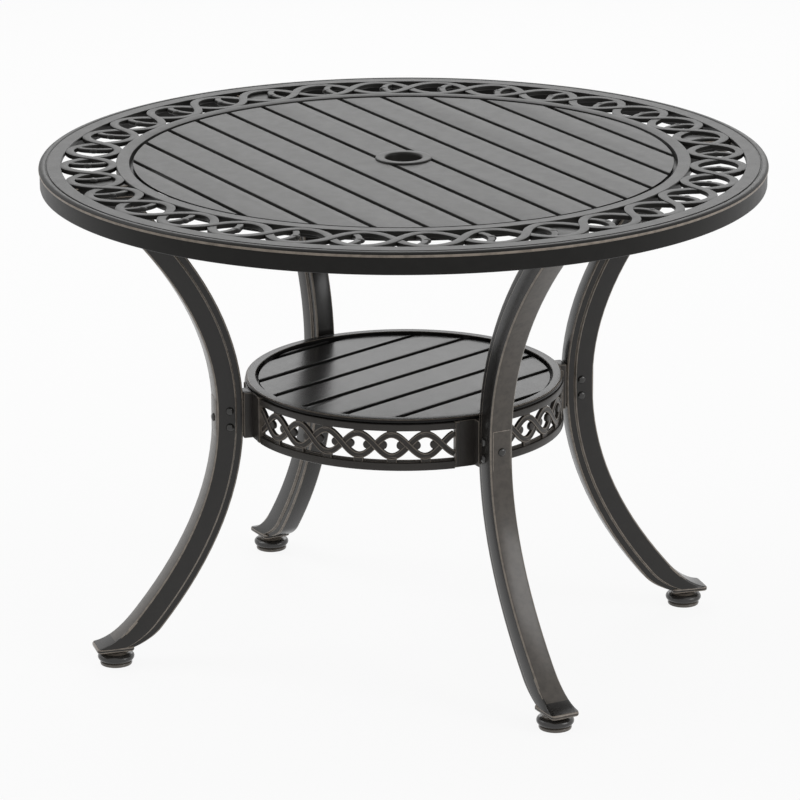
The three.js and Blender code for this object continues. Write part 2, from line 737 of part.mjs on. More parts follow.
function node(name, geometry, material) {
  const mesh = new THREE.Mesh(geometry, material());
  mesh.name = name;
  return mesh;
}

// Assembly
const table = new THREE.Group();
table.add(node('top_frame', topFrame(), textured));
table.add(node('umbrella_flange', umbrellaFlange(), dark));

const topPanel = new THREE.Group();
topPanel.rotation.z = topSlatAzimuth;
const umbrellaCut = prism(
  Array.from({ length: collarSegments }, (unused, k) => {
    const angle = (2 * Math.PI * k) / collarSegments;
    const radius = umbrellaHoleRadius + collarWall + 2 * seatGap;
    return [radius * Math.cos(angle), radius * Math.sin(angle)];
  }),
  tableHeight - innerRingHeight,
  tableHeight + cutOverrun,
);
slatOffsets(topSlatCount, topSlatPitch).forEach((offset, k) => {
  const geometry = slat(offset, {
    pitch: topSlatPitch,
    gap: topSlatGap,
    radius: topPanelRadius,
    top: tableHeight - topSlatRecess,
    height: tableHeight - topSlatRecess - topLedgeHeight - seatGap,
    hole: offset === 0 ? umbrellaCut : null,
  });
  topPanel.add(node(`top_slat_${String(k + 1).padStart(2, '0')}`, geometry, textured));
});
[-1, 1].forEach((side, k) => {
  const radius = insideFacets(ledgeInner, topSegments) - seatGap;
  const geometry = batten(side * topBattenOffset, radius, topLedgeHeight);
  topPanel.add(node(`top_batten_${k + 1}`, geometry, dark));
});
table.add(topPanel);

table.add(node('shelf_ring', shelfRing(), satin));
const shelfPanel = new THREE.Group();
shelfPanel.rotation.z = shelfSlatAzimuth;
const shelfInner = shelfRadius - shelfRingWidth;
const shelfLedgeHeight = shelfHeight - shelfSlatRecess - shelfSlatHeight - seatGap;
slatOffsets(shelfSlatCount, shelfSlatPitch).forEach((offset, k) => {
  const geometry = slat(offset, {
    pitch: shelfSlatPitch,
    gap: shelfSlatGap,
    radius: shelfPanelRadius,
    top: shelfHeight - shelfSlatRecess,
    height: shelfSlatHeight,
    hole: null,
  });
  shelfPanel.add(node(`shelf_slat_${k + 1}`, geometry, satin));
});
[-1, 1].forEach((side, k) => {
  const radius = insideFacets(shelfInner - shelfLedgeWidth, shelfSegments) - seatGap;
  const geometry = batten(side * shelfBattenOffset, radius, shelfLedgeHeight);
  shelfPanel.add(node(`shelf_batten_${k + 1}`, geometry, dark));
});
table.add(shelfPanel);

const apronSpans = {
  right: ['front_right', 'back_right'],
  back: ['back_right', 'back_left'],
  left: ['back_left', 'front_left'],
  front: ['front_left', 'front_right'],
};
for (const [name, [from, to]] of Object.entries(apronSpans)) {
  const turn = 2 * Math.PI;
  const span = (legAzimuths[to] - legAzimuths[from] + turn) % turn;
  const panel = node(`apron_${name}`, apronPanel(span), dark);
  panel.rotation.z = legAzimuths[from];
  table.add(panel);
}

for (const [name, azimuth] of Object.entries(legAzimuths)) {
  const corner = new THREE.Group();
  corner.rotation.z = azimuth;
  corner.add(node(`leg_${name}`, leg(), satin));
  corner.add(node(`levelling_foot_${name}`, levellingFoot(), dark));
  corner.add(node(`bracket_${name}`, bracket(), dark));
  [-1, 1].forEach((side) => {
    const bolt = node(`side_bolt_${side < 0 ? 'lower' : 'upper'}_${name}`, throughBolt(), satin);
    bolt.rotation.x = Math.PI / 2;
    bolt.position.set(boltCircleRadius, 0, bracketMiddle + (side * boltSpacing) / 2);
    corner.add(bolt);
  });
  const radialDome = domeBolt(boltRadius, boltHeadRadius, radialBoltLength);
  const radialBolt = node(`radial_bolt_${name}`, radialDome, satin);
  radialBolt.rotation.y = Math.PI / 2;
  radialBolt.position.set(waistRadius + padProud + seatGap, 0, bracketMiddle);
  corner.add(radialBolt);
  const grip = legFlangeThickness + topBoltGrip - cutOverrun;
  const topBolt = node(`top_bolt_${name}`, domeBolt(topBoltRadius, topBoltHeadRadius, grip), dark);
  topBolt.rotation.x = Math.PI;
  topBolt.position.set(topBoltPlace, 0, legTopHeight - legFlangeThickness - seatGap);
  corner.add(topBolt);
  table.add(corner);
}

export default table;
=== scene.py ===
import math
from collections import namedtuple
from contextlib import contextmanager

import bmesh
import bpy
from bpy.props import FloatProperty, FloatVectorProperty, IntProperty, PointerProperty
from mathutils import Matrix, Vector


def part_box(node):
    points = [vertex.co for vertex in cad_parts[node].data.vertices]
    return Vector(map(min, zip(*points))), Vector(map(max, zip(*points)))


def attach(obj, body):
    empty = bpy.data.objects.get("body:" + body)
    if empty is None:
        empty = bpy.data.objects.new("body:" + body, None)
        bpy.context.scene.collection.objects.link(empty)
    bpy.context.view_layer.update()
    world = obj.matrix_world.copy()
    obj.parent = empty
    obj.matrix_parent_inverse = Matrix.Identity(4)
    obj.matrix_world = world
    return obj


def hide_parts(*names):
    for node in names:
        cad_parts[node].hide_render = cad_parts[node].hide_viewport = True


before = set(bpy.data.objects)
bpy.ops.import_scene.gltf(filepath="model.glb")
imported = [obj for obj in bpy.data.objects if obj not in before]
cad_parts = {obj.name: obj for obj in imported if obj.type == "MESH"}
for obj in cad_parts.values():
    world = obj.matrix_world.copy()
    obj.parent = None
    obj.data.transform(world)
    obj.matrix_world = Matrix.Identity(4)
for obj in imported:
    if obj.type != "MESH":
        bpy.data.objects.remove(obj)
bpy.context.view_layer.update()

bl_info = {
    "name": "Umbrella Table",
    "version": (1, 0, 0),
    "blender": (4, 5, 0),
    "location": "View3D > Sidebar > Table",
    "description": "Dresses a round cast patio table with a pierced border, curved legs and a lower shelf",
    "category": "Object",
}

MM = 0.001
TABLE_BODY = "table"
TOP_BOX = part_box("top_frame")
SHELF_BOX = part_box("shelf_ring")
WELD = MM / 100
LEG_HALF_ANGLE = 39.0
LEG_AZIMUTHS = {
    "front_right": -LEG_HALF_ANGLE, "back_right": LEG_HALF_ANGLE,
    "back_left": 180.0 - LEG_HALF_ANGLE, "front_left": 180.0 + LEG_HALF_ANGLE,
}
SIDE_SPAN = 2 * LEG_HALF_ANGLE
END_SPAN = 180.0 - SIDE_SPAN


# Sizes and colours that a user may change

def length(name, text, millimetres):
    return FloatProperty(name=name, description=text, default=millimetres * MM, unit="LENGTH", precision=5)


def tint(name, text, color):
    return FloatVectorProperty(name=name, description=text, default=color, subtype="COLOR", size=3, min=0, max=1)


class TopSizes(bpy.types.PropertyGroup):
    height: length("Top height", "Height of the border's upper face", TOP_BOX[1][2] / MM)
    border_middle: length("Border middle", "Radius on which the two border strands cross", 460.5)
    border_wave: length("Border wave", "Distance from the middle of the border to a strand's crest", 35.75)
    eyes: IntProperty(name="Border eyes", description="Number of eyes between the strands", default=32)
    first_eye: FloatProperty(name="First eye", description="Azimuth of the first eye in degrees", default=4.5)
    slat_pitch: length("Slat pitch", "Distance from one top slat to the next", 64)
    slat_gap: length("Slat gap", "Open gap between top slats", 7.6)
    panel_radius: length("Slat panel radius", "Radius to which the top slats are cut", 395.4)
    rounding: length("Edge rounding", "Rounding along the long edges of a slat", 1.1)


class ShelfSizes(bpy.types.PropertyGroup):
    height: length("Shelf height", "Height of the shelf ring's upper face", SHELF_BOX[1][2] / MM)
    slat_pitch: length("Shelf slat pitch", "Distance from one shelf slat to the next", 68.5)
    slat_gap: length("Shelf slat gap", "Open gap between shelf slats", 8.5)
    panel_radius: length("Shelf panel radius", "Radius to which the shelf slats are cut", 216.7)


class LegSizes(bpy.types.PropertyGroup):
    depth: length("Leg depth", "Depth of a leg from outer to inner face", 41)
    waist: length("Waist radius", "Distance of the outer face from the table's axis at the shelf", 291.5)
    head: length("Head radius", "Distance of the outer face from the axis under the top", 475.5)
    ankle: length("Ankle radius", "Distance of the outer face from the axis above the shoe", 412)


class PaintColours(bpy.types.PropertyGroup):
    top: tint("Top paint", "Textured paint of the top", (0.0125, 0.012, 0.011))
    satin: tint("Satin paint", "Satin paint of legs and shelf", (0.0175, 0.016, 0.0145))
    shelf: tint("Shelf paint", "Glossier paint of the shelf", (0.012, 0.0115, 0.011))
    dark: tint("Dark paint", "Satin paint of aprons and brackets", (0.034, 0.0305, 0.0275))
    # Light bronze for edge wear, also used as a painted highlight on edges and a painted sheen on outer faces
    bronze: tint("Bronze wear and painted highlight", "Bronze tone that shows on rubbed edges", (0.330, 0.285, 0.240))
    foot: tint("Foot plastic", "Moulded plastic of the levelling feet", (0.024, 0.0225, 0.021))


# Working with pieces in object mode and edit mode

def activate(piece):
    bpy.ops.object.select_all(action="DESELECT")
    piece.select_set(True)
    bpy.context.view_layer.objects.active = piece


@contextmanager
def editing(piece, mode="VERT"):
    activate(piece)
    bpy.ops.object.mode_set(mode="EDIT")
    bpy.ops.mesh.select_mode(type=mode)
    bpy.ops.mesh.select_all(action="SELECT")
    yield
    bpy.ops.object.mode_set(mode="OBJECT")


def pick(kind, test):
    """Selects the vertices, edges or faces of the piece in edit mode that pass a test."""
    mesh = bpy.context.object.data
    bpy.ops.mesh.select_all(action="DESELECT")
    cage = bmesh.from_edit_mesh(mesh)
    for item in getattr(cage, kind):
        if test(item):
            item.select_set(True)
    bmesh.update_edit_mesh(mesh)


def begin(name, add, **options):
    """Adds a primitive with nothing else selected and gives it its name."""
    bpy.ops.object.select_all(action="DESELECT")
    add(**options)
    piece = bpy.context.object
    piece.name = name
    return piece


def draw(name, points, closed=True, filled=False):
    """Draws a line of points, one extrusion at a time, and closes or fills it."""
    piece = begin(name, bpy.ops.mesh.primitive_plane_add, size=MM)
    with editing(piece):
        bpy.ops.mesh.merge(type="CENTER")
        bpy.ops.transform.translate(value=points[0])
        for here, there in zip(points, points[1:]):
            bpy.ops.mesh.extrude_vertices_move(TRANSFORM_OT_translate={"value": there - here})
        if filled:
            bpy.ops.mesh.select_all(action="SELECT")
            bpy.ops.mesh.edge_face_add()
        elif closed:
            ends = (points[0], points[-1])
            pick("verts", lambda vert: min((vert.co - end).length for end in ends) < WELD)
            bpy.ops.mesh.edge_face_add()
    return piece


def outwards(piece):
    with editing(piece):
        bpy.ops.mesh.remove_doubles(threshold=WELD)
        bpy.ops.mesh.normals_make_consistent(inside=False)


def turn(name, outline, steps, sweep=360.0, closed=True):
    """Spins an outline of radius and height, in millimetres, round the table's axis."""
    partial = sweep < 360
    piece = draw(name, [Vector((r, 0, z)) * MM for r, z in outline], closed, filled=partial)
    with editing(piece):
        bpy.ops.mesh.spin(steps=steps, angle=-math.radians(sweep), center=(0, 0, 0), axis=(0, 0, 1))
    outwards(piece)
    return piece


def swing(piece, degrees, axis="Z"):
    with editing(piece):
        bpy.ops.transform.rotate(value=-math.radians(degrees), orient_axis=axis, center_override=(0, 0, 0))


def shift(piece, x, y, z):
    with editing(piece):
        bpy.ops.transform.translate(value=(x * MM, y * MM, z * MM))


def block(name, x, y, z, rounding=0.0, segments=2):
    """A cube stretched between limits in millimetres, with its edges bevelled."""
    middle = [(low + high) / 2 * MM for low, high in (x, y, z)]
    size = [(high - low) * MM for low, high in (x, y, z)]
    piece = begin(name, bpy.ops.mesh.primitive_cube_add, size=1, location=middle, scale=size)
    bpy.ops.object.transform_apply(location=True, rotation=True, scale=True)
    if rounding:
        with editing(piece, "EDGE"):
            bpy.ops.mesh.bevel(offset=rounding * MM, segments=segments, affect="EDGES")
    return piece


def twin(piece, name):
    activate(piece)
    bpy.ops.object.duplicate(linked=False)
    bpy.context.object.name = name
    return bpy.context.object


def join(name, pieces):
    activate(pieces[0])
    for piece in pieces:
        piece.select_set(True)
    bpy.ops.object.join()
    bpy.context.object.name = name
    return bpy.context.object


def carve(piece, cutter, operation="DIFFERENCE"):
    activate(piece)
    bpy.ops.object.modifier_add(type="BOOLEAN")
    cut = piece.modifiers[-1]
    cut.operation = operation
    cut.solver = "EXACT"
    cut.object = cutter
    bpy.ops.object.modifier_apply(modifier=cut.name)
    bpy.data.objects.remove(cutter)
    return piece


def soften(piece, width, segments=2, angle=35.0):
    activate(piece)
    bpy.ops.object.modifier_add(type="BEVEL")
    edge = piece.modifiers[-1]
    edge.width = width * MM
    edge.segments = segments
    edge.limit_method = "ANGLE"
    edge.angle_limit = math.radians(angle)
    bpy.ops.object.modifier_apply(modifier=edge.name)
    return piece


CURVE_STEPS = 4


def lay(name, path, section, closed=True):
    """Lays a bar of one section along a smooth path whose number of points is a multiple of four."""
    profile = draw("section", [Vector((x, y, 0)) * MM for x, y in section])
    activate(profile)
    bpy.ops.object.convert(target="CURVE")
    profile = bpy.context.object
    bar = begin(name, bpy.ops.curve.primitive_bezier_circle_add)
    bpy.ops.object.mode_set(mode="EDIT")
    bpy.ops.curve.select_all(action="SELECT")
    bpy.ops.curve.subdivide(number_cuts=len(path) // 4 - 1)
    bpy.ops.object.mode_set(mode="OBJECT")
    spline = bar.data.splines[0]
    for handle, place in zip(spline.bezier_points, path):
        handle.co = place
        handle.handle_left_type = "AUTO"
        handle.handle_right_type = "AUTO"
    spline.use_cyclic_u = closed
    bar.data.resolution_u = CURVE_STEPS
    bar.data.twist_mode = "Z_UP"
    bar.data.use_fill_caps = not closed
    bar.data.bevel_mode = "OBJECT"
    bar.data.bevel_object = profile
    activate(bar)
    bpy.ops.object.convert(target="MESH")
    bar = bpy.context.object
    bpy.data.objects.remove(profile)
    outwards(bar)
    return bar


OUTWARD_SHARE = 0.55


def mark_edges(piece, narrow, between, outward_bronze_and_sheen):
    """Writes where bronze wear and painted highlight go: 1 on narrow faces, the given outward amount on faces turned
    outwards, 0 on the others.
    """
    mesh = piece.data
    worn = mesh.attributes.new("worn", "FLOAT", "CORNER")
    for face in mesh.polygons:
        corners = [mesh.vertices[index].co for index in face.vertices]
        shortest = min((a - b).length for a, b in zip(corners, corners[1:] + corners[:1]))
        turned_out = face.normal.xy.dot(face.center.xy) > OUTWARD_SHARE * face.center.xy.length
        inside = between[0] * MM < face.center.z < between[1] * MM
        # Narrow faces get bronze wear with a painted highlight; faces turned outwards get a painted bronze sheen
        value = 1.0 if shortest < narrow * MM and inside else outward_bronze_and_sheen * turned_out
        for loop in face.loop_indices:
            worn.data[loop].value = value


def deliver(piece, name, slot, nodes, body=TABLE_BODY, coat=None,
            narrow=1.9, smooth=32.0, between=(0.0, 760.0), outward_bronze_and_sheen=0.0):
    """Shades, paints and registers a finished piece.

    coat names a recipe other than the slot's own. Faces narrower than narrow, at heights between the two given,
    get bronze wear with a painted highlight; both are in millimetres.
    """
    piece.name = name
    activate(piece)
    bpy.ops.object.transform_apply(location=True, rotation=True, scale=True)
    bpy.ops.object.shade_smooth_by_angle(angle=math.radians(smooth))
    mark_edges(piece, narrow, between, outward_bronze_and_sheen)
    piece.data.materials.clear()
    piece.data.materials.append(paint(coat or slot))
    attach(piece, body)
    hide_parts(*nodes)
    return piece


# Paint

def new_group(name, inputs, outputs):
    group = bpy.data.node_groups.new(name, "ShaderNodeTree")
    for label, value in inputs.items():
        socket = group.interface.new_socket(label, in_out="INPUT", socket_type="NodeSocketFloat")
        socket.default_value = value
    for label in outputs:
        group.interface.new_socket(label, in_out="OUTPUT", socket_type="NodeSocketFloat")
    return group, group.nodes.new("NodeGroupInput"), group.nodes.new("NodeGroupOutput")


def noise(tree, scale_from, detail, roughness):
    place = tree.nodes.new("ShaderNodeTexCoord")
    texture = tree.nodes.new("ShaderNodeTexNoise")
    texture.inputs["Detail"].default_value = detail
    texture.inputs["Roughness"].default_value = roughness
    tree.links.new(place.outputs["Object"], texture.inputs["Vector"])
    tree.links.new(scale_from, texture.inputs["Scale"])
    return texture.outputs["Fac"]


def spread(tree, value, low, high, least=0.0):
    ramp = tree.nodes.new("ShaderNodeMapRange")
    ramp.inputs["To Min"].default_value = least
    ramp.inputs["From Min"].default_value = low
    ramp.inputs["From Max"].default_value = high
    tree.links.new(value, ramp.inputs["Value"])
    return ramp.outputs["Result"]


def combine(tree, operation, first, second):
    """A math node on two values, of which the second may be a number."""
    node = tree.nodes.new("ShaderNodeMath")
    node.operation = operation
    tree.links.new(first, node.inputs[0])
    if isinstance(second, float):
        node.inputs[1].default_value = second
    else:
        tree.links.new(second, node.inputs[1])
    return node.outputs[0]


def grain_group():
    """Fine grain and slow mottling of a powder coat."""
    if "powder_grain" in bpy.data.node_groups:
        return bpy.data.node_groups["powder_grain"]
    inputs = {"Grain Scale": 700.0, "Mottle Scale": 60.0}
    group, given, result = new_group("powder_grain", inputs, ("Grain", "Mottle"))
    grain = noise(group, given.outputs["Grain Scale"], detail=3.0, roughness=0.6)
    mottle = noise(group, given.outputs["Mottle Scale"], detail=4.0, roughness=0.55)
    group.links.new(grain, result.inputs["Grain"])
    group.links.new(spread(group, mottle, low=0.3, high=0.7), result.inputs["Mottle"])
    return group


def rub_group():
    """Where edges show bronze wear and a painted highlight: the marked edges, broken up by noise."""
    if "edge_rub" in bpy.data.node_groups:
        return bpy.data.node_groups["edge_rub"]
    group, given, result = new_group("edge_rub", {"Breakup Scale": 90.0, "Amount": 0.8}, ("Mask",))
    worn = group.nodes.new("ShaderNodeAttribute")
    worn.attribute_name = "worn"
    breakup = noise(group, given.outputs["Breakup Scale"], detail=3.0, roughness=0.6)
    patches = spread(group, breakup, low=0.3, high=0.6, least=0.6)
    patched = combine(group, "MULTIPLY", patches, worn.outputs["Fac"])
    mask = combine(group, "MULTIPLY", patched, given.outputs["Amount"])
    group.links.new(mask, result.inputs["Mask"])
    return group


def mix_colour(tree, factor, first, second):
    """Mixes two colours or sockets. Inputs 6 and 7 and output 2 are the mix node's colour sockets."""
    mix = tree.nodes.new("ShaderNodeMix")
    mix.data_type = "RGBA"
    tree.links.new(factor, mix.inputs[0])
    for socket, colour in ((mix.inputs[6], first), (mix.inputs[7], second)):
        if isinstance(colour, bpy.types.NodeSocket):
            tree.links.new(colour, socket)
        else:
            socket.default_value = (*colour, 1.0)
    return mix.outputs[2]


# colour: a PaintColours name; rough: roughness range; grain: noise scale; depth: bump strength;
# rub: how far edges show bronze wear and painted highlight; gloss: specular level
Recipe = namedtuple("Recipe", "colour rough grain depth rub gloss")
PAINTS = {
    "textured_paint": Recipe("top", (0.38, 0.42), 650.0, 0.08, 0.9, 0.14),
    "satin_paint": Recipe("satin", (0.21, 0.25), 520.0, 0.02, 0.8, 0.38),
    "shelf_gloss": Recipe("shelf", (0.23, 0.26), 520.0, 0.015, 0.5, 0.12),
    "dark_paint": Recipe("dark", (0.32, 0.38), 520.0, 0.05, 0.5, 0.26),
    "bolt_paint": Recipe("satin", (0.20, 0.24), 600.0, 0.02, 0.4, 0.6),
    # the feet's edge value lays a painted bronze highlight on the plastic
    "foot_plastic": Recipe("foot", (0.22, 0.26), 900.0, 0.02, 0.35, 0.55),
}
MOTTLE_LIGHTER = 1.12
MOTTLE_DARKER = 0.88


def paint(kind):
    """The material of a recipe, made at its first use. Its name differs from the slots of the loaded model."""
    name = f"{kind}_coat"
    if name in bpy.data.materials:
        return bpy.data.materials[name]
    recipe = PAINTS[kind]
    colours = bpy.context.scene.table_colours
    base = tuple(getattr(colours, recipe.colour))
    material = bpy.data.materials.new(name)
    material.use_nodes = True
    tree = material.node_tree
    shader = tree.nodes["Principled BSDF"]
    grain = tree.nodes.new("ShaderNodeGroup")
    grain.node_tree = grain_group()
    grain.inputs["Grain Scale"].default_value = recipe.grain
    rub = tree.nodes.new("ShaderNodeGroup")
    rub.node_tree = rub_group()
    rub.inputs["Amount"].default_value = recipe.rub
    lighter = tuple(channel * MOTTLE_LIGHTER for channel in base)
    darker = tuple(channel * MOTTLE_DARKER for channel in base)
    coat = mix_colour(tree, grain.outputs["Mottle"], darker, lighter)
    colour = mix_colour(tree, rub.outputs["Mask"], coat, tuple(colours.bronze))
    tree.links.new(colour, shader.inputs["Base Color"])
    gloss = tree.nodes.new("ShaderNodeMapRange")
    gloss.inputs["To Min"].default_value, gloss.inputs["To Max"].default_value = recipe.rough
    tree.links.new(grain.outputs["Mottle"], gloss.inputs["Value"])
    tree.links.new(gloss.outputs["Result"], shader.inputs["Roughness"])
    bump = tree.nodes.new("ShaderNodeBump")
    bump.inputs["Strength"].default_value = recipe.depth
    bump.inputs["Distance"].default_value = MM
    tree.links.new(grain.outputs["Grain"], bump.inputs["Height"])
    tree.links.new(bump.outputs["Normal"], shader.inputs["Normal"])
    shader.inputs["Specular IOR Level"].default_value = recipe.gloss
    return material


# Top frame

RIM_OUTLINE = [
    (500.6, 734.2), (500.6, 739.3), (501.3, 740.0), (520.8, 740.0), (521.5, 739.5), (521.9, 738.5), (523.0, 738.4),
    (523.6, 739.2), (524.6, 739.9), (526.4, 740.0), (528.6, 739.8), (530.6, 739.2), (532.2, 738.0), (533.1, 736.6),
    (533.4, 735.2), (533.3, 734.1), (532.7, 733.3), (532.1, 732.7), (531.9, 731.6), (531.9, 710.2), (531.5, 708.8),
    (530.4, 708.0), (529.4, 708.2), (528.8, 709.2), (528.6, 732.8), (527.2, 733.9), (501.6, 733.9),
]
INNER_BAND_OUTLINE = [
    (420.4, 726.9), (420.4, 739.0), (419.5, 740.0), (402.3, 740.0), (401.3, 739.5), (401.0, 738.4),
    (401.0, 729.0), (386.7, 729.0), (386.0, 728.3), (386.0, 726.7), (386.7, 726.0), (419.6, 726.0),
]
STRAND_SECTION = [
    (-6.5, 1.9), (-6.3, 2.5), (-5.8, 2.7), (5.8, 2.7), (6.3, 2.5), (6.5, 1.9), (6.5, -3.2), (5.9, -3.8),
    (-5.9, -3.8), (-6.5, -3.2),
]
RIM_STEPS = 256
BAND_STEPS = 192
# Heights of the bead's lower round, where a painted highlight line is laid in bronze
BEAD_HIGHLIGHT_HEIGHTS = (732.9, 736.8)
STRAND_POINTS_PER_EYE = 8
STRAND_ROUNDNESS = 0.38
STRAND_CREST = max(height for across, height in STRAND_SECTION)
WEAVE_DROP = 0.35
WEAVE_SWING = 0.5
WEAVE_DIP = 0.15
BAR_SECTION = [
    (-5.2, 0.0), (-5.0, 1.8), (-4.3, 2.7), (-3.2, 3.0), (3.2, 3.0), (4.3, 2.7), (5.0, 1.8), (5.2, 0.0), (4.9, -2.2),
    (4.1, -3.0), (-4.1, -3.0), (-4.9, -2.2),
]
CRESCENT = [
    (-18.4, -28.6), (-14.8, -24.4), (-11.6, -19.2), (-9.2, -13.0), (-7.8, -6.6), (-7.4, 0.0), (-7.8, 6.6),
    (-9.2, 13.0), (-11.6, 18.6), (-14.8, 23.0), (-18.4, 26.4), (-22.0, 28.8),
]
BAR_RISE = 0.9
BAR_DROP = 4.2
CRESCENT_KNOB = (-5.4, 1.0)
KNOB_OUTLINE = [(0, -3.0), (4.6, -2.8), (6.3, -1.6), (6.8, 0.2), (6.0, 2.0), (4.0, 3.2), (0, 3.6)]
KNOB_STEPS = 16
KNOB_DROP = 3.3
LUG_FOOT = ((374, 504), (-24, 24), (718, 727.5))
LUG_RISE = ((415.5, 504), (-24, 24), (724, 735.6))
LUG_ROUNDING = 1.6


def border_path(sizes, side):
    """A strand swings in round loops from crest to trough, over one crossing and under the next."""
    path = []
    for k in range(sizes.eyes * STRAND_POINTS_PER_EYE):
        turns = k / STRAND_POINTS_PER_EYE
        phase = math.pi * turns
        eye = round(turns)
        loop = eye + math.sin(phase - math.pi * eye) / 2
        along = turns + (loop - turns) * STRAND_ROUNDNESS
        angle = math.radians(sizes.first_eye + 360.0 / sizes.eyes * along)
        weave = side * math.sin(phase)
        top = sizes.height - (WEAVE_DROP - WEAVE_SWING * weave + WEAVE_DIP * weave * weave) * MM
        radius = sizes.border_middle + side * sizes.border_wave * math.cos(phase)
        path.append(Vector((radius * math.cos(angle), radius * math.sin(angle), top - STRAND_CREST * MM)))
    return path


def crescent_path(sizes):
    """The small bar of an eye bows from the inner side of the border round to the outer side."""
    path = []
    for k, (along, across) in enumerate(CRESCENT):
        radius = sizes.border_middle + across * MM
        angle = math.radians(sizes.first_eye) + along * MM / radius
        rise = math.sin(math.pi * k / (len(CRESCENT) - 1))
        top = sizes.height + (BAR_RISE * rise - BAR_DROP) * MM
        path.append(Vector((radius * math.cos(angle), radius * math.sin(angle), top)))
    return path


class TABLE_OT_make_top_frame(bpy.types.Operator):
    """Models the beaded rim, the interlaced border with its small bars, the inner band and the leg lugs"""
    bl_idname = "table.make_top_frame"
    bl_label = "Top Frame"

    def execute(self, context):
        sizes = context.scene.table_top
        frame_node = ("top_frame",)
        rim = turn("rim", RIM_OUTLINE, RIM_STEPS)
        # A painted highlight line runs along the bead's lower round
        deliver(rim, "beaded_rim", "textured_paint", frame_node, between=BEAD_HIGHLIGHT_HEIGHTS)
        band = turn("band", INNER_BAND_OUTLINE, BAND_STEPS)
        deliver(band, "inner_band", "textured_paint", frame_node, narrow=0)
        for side, name in ((1, "border_strand_outer_first"), (-1, "border_strand_inner_first")):
            strand = lay(name, border_path(sizes, side), STRAND_SECTION)
            deliver(strand, name, "textured_paint", frame_node, narrow=0)
        self.eye_bars(sizes, frame_node)
        self.lugs(frame_node)
        return {"FINISHED"}

    def eye_bars(self, sizes, nodes):
        """A bowed bar with a knob in its middle crosses every eye; each doubling halves the step between copies."""
        bar = lay("bar", crescent_path(sizes), BAR_SECTION, closed=False)
        knob = turn("knob", KNOB_OUTLINE, KNOB_STEPS, closed=False)
        along, across = CRESCENT_KNOB
        shift(knob, sizes.border_middle / MM + across, along, sizes.height / MM - KNOB_DROP)
        swing(knob, sizes.first_eye)
        bar = join("bar", [bar, knob])
        with editing(bar):
            step = 180.0
            while step >= 360.0 / sizes.eyes:
                bpy.ops.mesh.select_all(action="SELECT")
                bpy.ops.mesh.duplicate()
                bpy.ops.transform.rotate(value=-math.radians(step), orient_axis="Z", center_override=(0, 0, 0))
                step /= 2
        deliver(bar, "border_bars", "textured_paint", nodes, narrow=0)

    def lugs(self, nodes):
        for name, azimuth in LEG_AZIMUTHS.items():
            foot = block("lug", *LUG_FOOT, LUG_ROUNDING)
            rise = block("rise", *LUG_RISE, LUG_ROUNDING)
            lug = join("lug", [foot, rise])
            swing(lug, azimuth)
            # Narrow edges get bronze wear with a painted highlight
            deliver(lug, f"leg_lug_{name}", "textured_paint", nodes)


# Slats, battens and the umbrella flange

SLAT_LIP = 2.2
SLAT_SKIN = 2.5
CUT_OVERRUN = 4.0
PANEL_SEGMENTS = 192
HOLE_SEGMENTS = 96
BATTEN_HALF_WIDTH = 12.5
BATTEN_ROUNDING = 0.8
TOP_SLATS = 13
TOP_SLAT_AZIMUTH = -LEG_HALF_ANGLE
TOP_SLAT_HEIGHT = 9.7
TOP_SLAT_RECESS = 1.0
UMBRELLA_CUT = 28.9
TOP_BATTENS = (150, 347, 725, 729)
FLANGE_STEPS = 96


def slat(name, offset, width, height, top, panel_radius, rounding):
    """A pressed channel: a cube hollowed from below, rounded along the top and cut to the round."""
    reach = panel_radius + CUT_OVERRUN * MM
    piece = begin(name, bpy.ops.mesh.primitive_cube_add, size=1, location=(0, offset, top - height / 2),
                  scale=(2 * reach, width, height))
    bpy.ops.object.transform_apply(location=True, rotation=True, scale=True)
    with editing(piece, "FACE"):
        pick("faces", lambda face: face.normal.z < -0.5)
        bpy.ops.mesh.inset(thickness=SLAT_LIP * MM, depth=0)
        rise = (0, 0, height - SLAT_SKIN * MM)
        bpy.ops.mesh.extrude_region_move(TRANSFORM_OT_translate={"value": rise})
    with editing(piece, "EDGE"):
        pick("edges", lambda edge: abs((edge.verts[0].co - edge.verts[1].co).x) > reach
             and min(vert.co.z for vert in edge.verts) > top - MM / 10)
        bpy.ops.mesh.bevel(offset=rounding, segments=3, affect="EDGES")
    disc = begin("disc", bpy.ops.mesh.primitive_cylinder_add, vertices=PANEL_SEGMENTS, radius=panel_radius,
                 depth=height * 3, location=(0, 0, top - height / 2))
    return carve(piece, disc, "INTERSECT")


def make_slats(prefix, count, sizes, height, top, rounding, azimuth, slot, coat=None, hole=None):
    """Slats side by side; the one in the middle is bored where there is a hole."""
    for k in range(count):
        offset = (k - (count - 1) / 2) * sizes.slat_pitch
        width = sizes.slat_pitch - sizes.slat_gap
        piece = slat(prefix, offset, width, height, top, sizes.panel_radius, rounding)
        if hole and abs(offset) < MM:
            cutter = begin("hole", bpy.ops.mesh.primitive_cylinder_add, vertices=HOLE_SEGMENTS, radius=hole,
                           depth=height * 4, location=(0, 0, top))
            carve(piece, cutter)
        swing(piece, azimuth)
        number = str(k + 1).zfill(len(str(count)))
        deliver(piece, f"{prefix}_{number}_dressed", slot, (f"{prefix}_{number}",), narrow=0, coat=coat)


def make_battens(prefix, offset, half_length, low, high, azimuth):
    """Two flat bars across the slats, at equal distances from the middle."""
    for k, side in enumerate((-1, 1)):
        across = (side * offset - BATTEN_HALF_WIDTH, side * offset + BATTEN_HALF_WIDTH)
        piece = block(prefix, across, (-half_length, half_length), (low, high), rounding=BATTEN_ROUNDING)
        swing(piece, azimuth)
        deliver(piece, f"{prefix}_{k + 1}_dressed", "dark_paint", (f"{prefix}_{k + 1}",), narrow=0)


